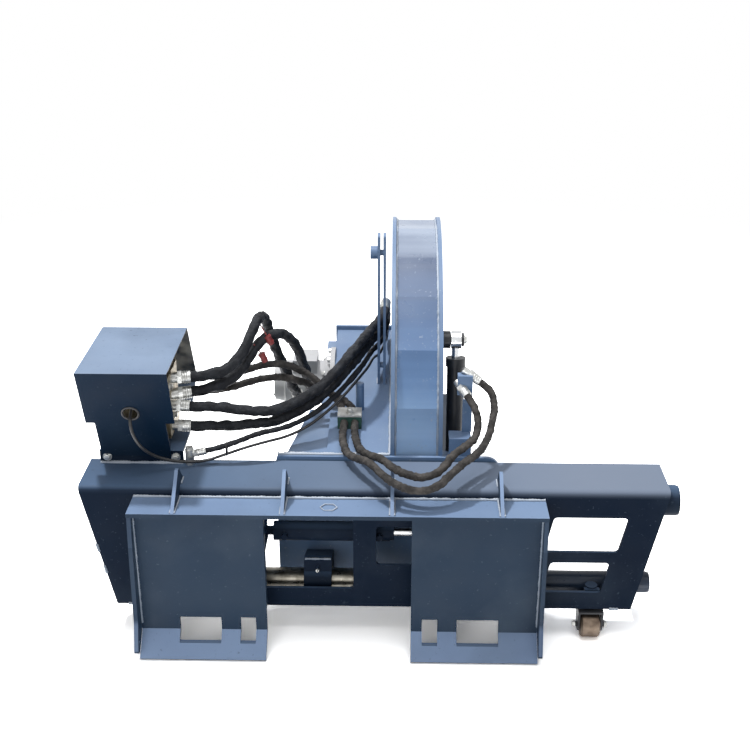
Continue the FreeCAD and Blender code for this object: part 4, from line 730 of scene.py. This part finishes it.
# %% A finish for every solid
finishes = {
    blue_paint: ["carriage_plate", "carriage_gussets", "hood_left_plate", "hood_right_plate",
                 "arm_top_plate", "arm_side_plate", "arm_end_plate", "hose_post",
                 "shoe_sides", "shoe_cross_bar", "upper_sleeves"],
    band_paint: ["hood_band"],
    hitch_shade_paint: ["hitch_plates", "hitch_webs", "hitch_side_flanges", "hitch_top_lip",
                  "hitch_ribs"],
    deep_shade_paint: ["main_frame", "frame_end_plates", "valve_bracket", "upper_slide_tube",
                 "caster_mount", "lower_sleeves", "shift_frame_lug", "shift_carriage_lug",
                 "shift_barrel"],
    cover_paint: ["valve_cover"],
    yellow_zinc: ["valve_block"],
    wheel_paint: ["wheel_disc", "pick_holders", "shoe_soles"],
    black_paint: ["depth_barrel", "depth_hood_pin", "shoe_pivot_pins", "caster_fork"],
    cast_paint: ["gearbox_housing", "hydraulic_motor", "output_hub"],
    zinc: ["bracket_bolts", "gearbox_bolts", "motor_fittings", "wheel_bolts",
           "hose_fittings", "hose_ends"],
    chrome: ["shift_rod", "depth_rod"],
    greased: ["lower_slide_bar"],
    bronze: ["slide_bushes"],
    forged: ["carbide_picks"],
    roller_steel: ["caster_roller"],
    black_plastic: ["valve_coils"],
    green_plastic: ["hose_clamp"],
}


def dress(piece, finish):
    piece.data.materials.clear()
    piece.data.materials.append(finish)


for finish, names in finishes.items():
    for name in names:
        dress(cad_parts[name], finish)
for name, hose in hoses.items():
    if name == "control_cable":
        dress(hose, cable_cover)
    elif name.startswith("cylinder"):
        dress(hose, brown_sleeve)
    else:
        dress(hose, black_sleeve)
dressed = sum(len(names) for names in finishes.values())
print(dressed, "solids and", len(hoses), "hoses dressed, of", len(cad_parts), "nodes")

# %% [markdown]
# Bolts, rings and welds are small, but they tell a made machine from a drawing.
# Each kind is one function that adds its shape to a bmesh, at a place and along
# an axis. So all shapes of a kind on one moving body become one object.

# %% Shapes of discs, bolts and rings
def facing(place, axis):
    # Stands a shape that is built along Z at the place, along the axis.
    turn = Vector((0, 0, 1)).rotation_difference(Vector(axis)).to_matrix().to_4x4()
    return Matrix.Translation(place) @ turn


def onward(place, axis, reach):
    return Vector(place) + Vector(axis).normalized() * reach


def add_disc(bm, place, axis, radius, thickness, sides=20, top=1.0):
    centre = facing(place, axis) @ Matrix.Translation((0, 0, thickness / 2))
    bmesh.ops.create_cone(bm, cap_ends=True, segments=sides, radius1=radius,
                          radius2=radius * top, depth=thickness, matrix=centre)


def add_bolt(bm, place, axis, across, height):
    # A washer, a hexagon of the given width across its flats, and a domed top.
    washer = across * 0.14
    add_disc(bm, place, axis, across * 0.80, washer, 24, 0.97)
    add_disc(bm, onward(place, axis, washer), axis, across / math.sqrt(3), height, 6)
    add_disc(bm, onward(place, axis, washer + height), axis, across * 0.5, height * 0.14, 18, 0.8)


def add_ring(bm, place, axis, radius, thick, steps=28):
    # A small circle beside the axis, spun round it.
    beside = facing(place, axis) @ Matrix.Translation((radius, 0, 0))
    upright = beside @ Matrix.Rotation(math.pi / 2, 4, "X")
    section = bmesh.ops.create_circle(bm, segments=8, radius=thick, matrix=upright)["verts"]
    edges = list({edge for vert in section for edge in vert.link_edges})
    bmesh.ops.spin(bm, geom=section + edges, cent=place, axis=axis, angle=2 * math.pi,
                   steps=steps, use_merge=True)


def piece_from(name, bm, finish, body=None, smooth=False):
    bmesh.ops.recalc_face_normals(bm, faces=bm.faces)
    mesh = bpy.data.meshes.new(name)
    bm.to_mesh(mesh)
    bm.free()
    for face in mesh.polygons:
        face.use_smooth = smooth
    mesh.materials.append(finish)
    piece = new_object(name, mesh)
    if body:
        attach(piece, body)
    print(name, len(mesh.polygons), "faces")
    return piece


print("shapes: disc, bolt, ring")

# %% [markdown]
# A weld bead is a row of frozen drops. It could be a smooth rod with a bump,
# but its outline shows against the dark frame, so the shape itself has to vary:
# a curve takes short steps along the line, and each is a little thicker or
# thinner than the one before.

# %% Shape of a weld bead
drop = 0.0045     # metres from one drop to the next


def add_bead(bm, line, width):
    points = [Vector(line[0])]
    for start, end in zip(line, line[1:]):
        start, end = Vector(start), Vector(end)
        count = max(1, round((end - start).length / drop))
        points += [start.lerp(end, (i + 1) / count) for i in range(count)]
    data = bpy.data.curves.new("bead", "CURVE")
    data.dimensions = "3D"
    spline = data.splines.new("POLY")
    spline.points.add(len(points) - 1)
    for i, (target, point) in enumerate(zip(spline.points, points)):
        target.co = (*point, 1.0)
        target.radius = 0.85 + 0.25 * (i % 2) + 0.5 * noise.noise(point * 60)
    data.bevel_depth = width
    data.bevel_resolution = 1
    data.use_fill_caps = True
    bm.from_mesh(mesh_of(data))


print("a bead has a drop every", drop, "m")

# %% [markdown]
# On the frame, welds run along the back of the hook lip, beside its ribs and
# along the hitch plates, and round the ends of the slide tubes. Short stitches
# show on the frame's edge. All of them are fixed to the frame, so they become
# one piece.

# %% Welds on the frame
bm = bmesh.new()
# the back of the hook lip, and both sides of its four ribs
add_bead(bm, [(-0.583, 0.0785, 0.4635), (0.583, 0.0785, 0.4635)], 0.0050)
for x in (-0.456, -0.152, 0.152, 0.456):
    for side in (-0.0065, 0.0065):
        add_bead(bm, [(x + side, -0.019, 0.4668), (x + side, 0.076, 0.4640)], 0.0026)
        add_bead(bm, [(x + side, 0.108, 0.4898), (x + side, 0.147, 0.4898)], 0.0026)
# the outer and the upper edge of the two hitch plates
for side in (-1, 1):
    add_bead(bm, [(side * 0.5705, -0.0005, 0.090), (side * 0.5705, -0.0005, 0.442)], 0.0036)
    add_bead(bm, [(side * 0.5700, 0.0030, 0.4490), (side * 0.2090, 0.0030, 0.4490)], 0.0040)
# a small hexagon on the lip, and the valve bracket's foot
corners = [(math.cos(k * math.pi / 3), math.sin(k * math.pi / 3)) for k in range(7)]
add_bead(bm, [(-0.025 + 0.024 * x, 0.024 + 0.020 * y, 0.4656) for x, y in corners], 0.0018)
add_bead(bm, [(-0.708, 0.2320, 0.4900), (-0.464, 0.2320, 0.4900)], 0.0052)
# stitches on the frame's left edge and on its lower one
for start, end in (((-0.7025, 0.0815, 0.303), (-0.6965, 0.0815, 0.277)),
                   ((-0.6865, 0.0815, 0.231), (-0.6810, 0.0815, 0.206)),
                   ((-0.6260, 0.0810, 0.1010), (-0.6000, 0.0810, 0.1010)),
                   ((0.7900, 0.0810, 0.1010), (0.8160, 0.0810, 0.1010))):
    add_bead(bm, [start, end], 0.0050)
# round the slide tubes, on the slanted end plates
for x, z, radius in ((0.9235, 0.420, 0.0462), (0.8635, 0.140, 0.0334),
                     (-0.7290, 0.420, 0.0462), (-0.6690, 0.140, 0.0334)):
    slant = 0.21 if x < 0 else -0.21
    add_ring(bm, (x, 0.165, z), (1, 0, slant), radius, 0.0032, 44)
piece_from("frame_welds", bm, weld_paint, "frame", smooth=True)

# %% [markdown]
# On the carriage, a bead runs along both sides of the hood's band, where the
# arm meets the hood, and along the carriage plate's top. The band's beads
# follow the hood's round edge, so their points are worked out from its centre.
# The arm rises towards the back, so its beads are laid by its height.

# %% Welds on the carriage and the hood
hood_edge_radius = 0.5475
arm_front_y, arm_front_z, arm_slope = 0.274, 0.500, 0.16499


def arm_height(y):
    return arm_front_z + arm_slope * (y - arm_front_y)


bm = bmesh.new()
# both sides of the hood's band, from the front foot over the top to the back
for x in (0.1582, 0.2838):
    line = [(x, 0.2835, 0.472)]
    for i in range(10):
        angle = math.radians(16 + 18 * i)
        line.append((x, hood_centre_y - hood_edge_radius * math.cos(angle),
                     hood_centre_z + hood_edge_radius * math.sin(angle)))
    line.append((x, 1.3785, 0.440))
    add_bead(bm, line, 0.0042)
# the arm at the hood, the carriage plate's top, the hose post and the sleeves
add_bead(bm, [(0.1424, 0.276, arm_height(0.276)), (0.1424, 0.984, arm_height(0.984))], 0.0052)
add_bead(bm, [(-0.191, 0.2752, 0.5012), (0.142, 0.2752, 0.5012)], 0.0060)
for x in (0.0985, 0.1255):
    add_bead(bm, [(x, 0.652, arm_height(0.652)), (x, 0.688, arm_height(0.688))], 0.0026)
for x in (-0.106, 0.303):
    add_bead(bm, [(x, 0.1500, 0.2176), (x + 0.076, 0.1500, 0.2176)], 0.0034)
piece_from("carriage_welds", bm, weld_paint, "carriage", smooth=True)

# %% [markdown]
# Two bolts hold the valve cover's angle on the frame. The solid model has plain
# ones there, and these take their place. The valve block under the cover has
# threaded plugs, three at its right and one over each coil. A plug looks like a
# bolt head, so the same function makes both.

# %% Bolts and plugs at the valve
coil_xs = (-0.655, -0.595, -0.535)
bm = bmesh.new()
for x in (-0.687, -0.485):
    add_bolt(bm, (x, 0.234, 0.509), (0, -1, 0), 0.017, 0.007)
bolts = piece_from("cover_bolts", bm, zinc, "frame")
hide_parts("bracket_bolts")
bm = bmesh.new()
for y, z in ((0.335, 0.600), (0.384, 0.600), (0.290, 0.710)):
    add_bolt(bm, (-0.500, y, z), (1, 0, 0), 0.015, 0.006)
for x in coil_xs:
    add_bolt(bm, (x, 0.338, 0.793), (0, 0, 1), 0.020, 0.007)
piece_from("valve_plugs", bm, zinc, "frame")

# %% [markdown]
# The gearbox and the motor are held by rings of four bolts, and the pins of the
# hood, the shoe and the caster by one bolt each. The lower sleeves are greased
# through nipples in front. Bolts that move with different bodies have to be
# different pieces, so there is one piece for each body.

# %% Bolts, pins and grease nipples
def add_nipple(bm, place, axis):
    add_disc(bm, place, axis, 0.0050, 0.005, 6)
    add_disc(bm, onward(place, axis, 0.005), axis, 0.0030, 0.006, 12, 0.6)
    bmesh.ops.create_uvsphere(bm, u_segments=12, v_segments=8, radius=0.0026,
                              matrix=Matrix.Translation(onward(place, axis, 0.011)))


def round_the_shaft(x, radius, turn):
    angle = math.radians(turn)
    return (x, hood_centre_y + radius * math.cos(angle), hood_centre_z + radius * math.sin(angle))


bm = bmesh.new()
for turn in (45, 135, 225, 315):
    add_bolt(bm, round_the_shaft(-0.079, 0.081, turn), (-1, 0, 0), 0.011, 0.008)
    add_disc(bm, round_the_shaft(-0.249, 0.046, turn), (-1, 0, 0), 0.006, 0.007, 16)
# the depth cylinder's upper pin, both shoe pivots, and the hose clamp
add_bolt(bm, (0.361, 0.450, 0.800), (1, 0, 0), 0.019, 0.006)
add_bolt(bm, (0.316, 1.270, 0.400), (1, 0, 0), 0.024, 0.008)
add_bolt(bm, (0.126, 1.270, 0.400), (-1, 0, 0), 0.024, 0.008)
add_bolt(bm, (0.0185, 0.426, arm_height(0.426) + 0.0452), (0, -0.16, 1), 0.016, 0.008)
for x in (-0.068, 0.341):
    add_nipple(bm, (x, 0.125, 0.195), (0, -1, 0))
piece_from("carriage_bolts", bm, zinc, "carriage")
bm = bmesh.new()
add_bolt(bm, (0.361, 0.390, 0.420), (1, 0, 0), 0.019, 0.006)
piece_from("shoe_pin_bolt", bm, zinc, "depth_shoe")
bm = bmesh.new()
for x, way in ((0.781, 1), (0.695, -1)):
    add_bolt(bm, (x, 0.094, 0.038), (way, 0, 0), 0.016, 0.006)
piece_from("caster_nuts", bm, zinc, "caster_fork")

# %% [markdown]
# Every hose is pressed into a steel ferrule, and the press leaves ridges round
# it. A few thin rings on each ferrule give them. Those at the valve belong to
# the frame, those at the far ends to the carriage.

# %% Ridges of the ferrules
starts = bmesh.new()
ends = bmesh.new()
for diameter, length, points in hose_routes.values():
    for bm, tip, inner in ((starts, points[0], points[1]), (ends, points[-1], points[-2])):
        way = (Vector(tip) - Vector(inner)).normalized()
        for reach in (0.003, 0.010, 0.017, 0.024):
            add_ring(bm, onward(tip, way, reach), way, diameter / 2 + 0.0024, 0.0016, 24)
piece_from("ferrule_ridges", starts, zinc, "frame", smooth=True)
piece_from("ferrule_ridges_far", ends, zinc, "carriage", smooth=True)

# %% [markdown]
# Three small things are plastic or rubber: the coils' plugs, the ring in the
# cover's hole, and a strap round the thin hose and the cable. Plugs and ring
# stay with the frame. The strap hangs on two cords that bend.

# %% Coil plugs, ring and strap
bm = bmesh.new()
for x in coil_xs:
    size = Matrix.Diagonal((0.024, 0.020, 0.028, 1))
    bmesh.ops.create_cube(bm, size=1.0, matrix=Matrix.Translation((x, 0.307, 0.774)) @ size)
bmesh.ops.bevel(bm, geom=bm.edges[:], offset=0.002, segments=2, affect="EDGES",
                profile=0.5, material=-1)
add_ring(bm, (-0.593, 0.1725, 0.678), (0, -0.940, -0.341), 0.0235, 0.0032, 40)
piece_from("coil_plugs", bm, black_plastic, "frame")

bm = bmesh.new()
add_ring(bm, (0, 0, 0), (1, 0, 0), 0.0098, 0.0014, 36)
stretch = Matrix.Translation((-0.335, 0.2385, 0.5345)) @ Matrix.Diagonal((1.6, 1, 2.05, 1))
bmesh.ops.transform(bm, matrix=stretch, verts=bm.verts)
strap = piece_from("cable_strap", bm, black_plastic, smooth=True)
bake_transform(strap)

# %% [markdown]
# Two red dust caps hang on short straps under the motor hoses. They close the
# couplings when the machine is off the loader. Each is a slightly tapered
# plug with two ribs.

# %% Red dust caps
bm = bmesh.new()
for place, top, lean in (((-0.230, 0.455, 0.806), (-0.252, 0.463, 0.843), (0.45, 0, -0.9)),
                         ((-0.247, 0.436, 0.757), (-0.266, 0.425, 0.790), (0.40, 0, -0.9))):
    add_disc(bm, place, lean, 0.0105, 0.030, 20, 0.92)
    add_ring(bm, onward(place, lean, 0.004), lean, 0.0108, 0.0016, 24)
    add_ring(bm, onward(place, lean, 0.022), lean, 0.0104, 0.0014, 24)
    add_bead(bm, [top, place], 0.0022)
caps = piece_from("dust_caps", bm, red_plastic)
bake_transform(caps)

# %% [markdown]
# A short blue post stands on the arm behind the hose clamp. What it is for
# can't be told from the photograph. It is a round bar with a small chamfer,
# which two discs on top of each other give.

# %% A small post on the arm
bm = bmesh.new()
add_disc(bm, (0.047, 0.512, arm_height(0.512) - 0.003), (0, 0, 1), 0.013, 0.088, 28)
add_disc(bm, (0.047, 0.512, arm_height(0.512) + 0.085), (0, 0, 1), 0.013, 0.004, 28, 0.8)
piece_from("arm_post", bm, blue_paint, "carriage")
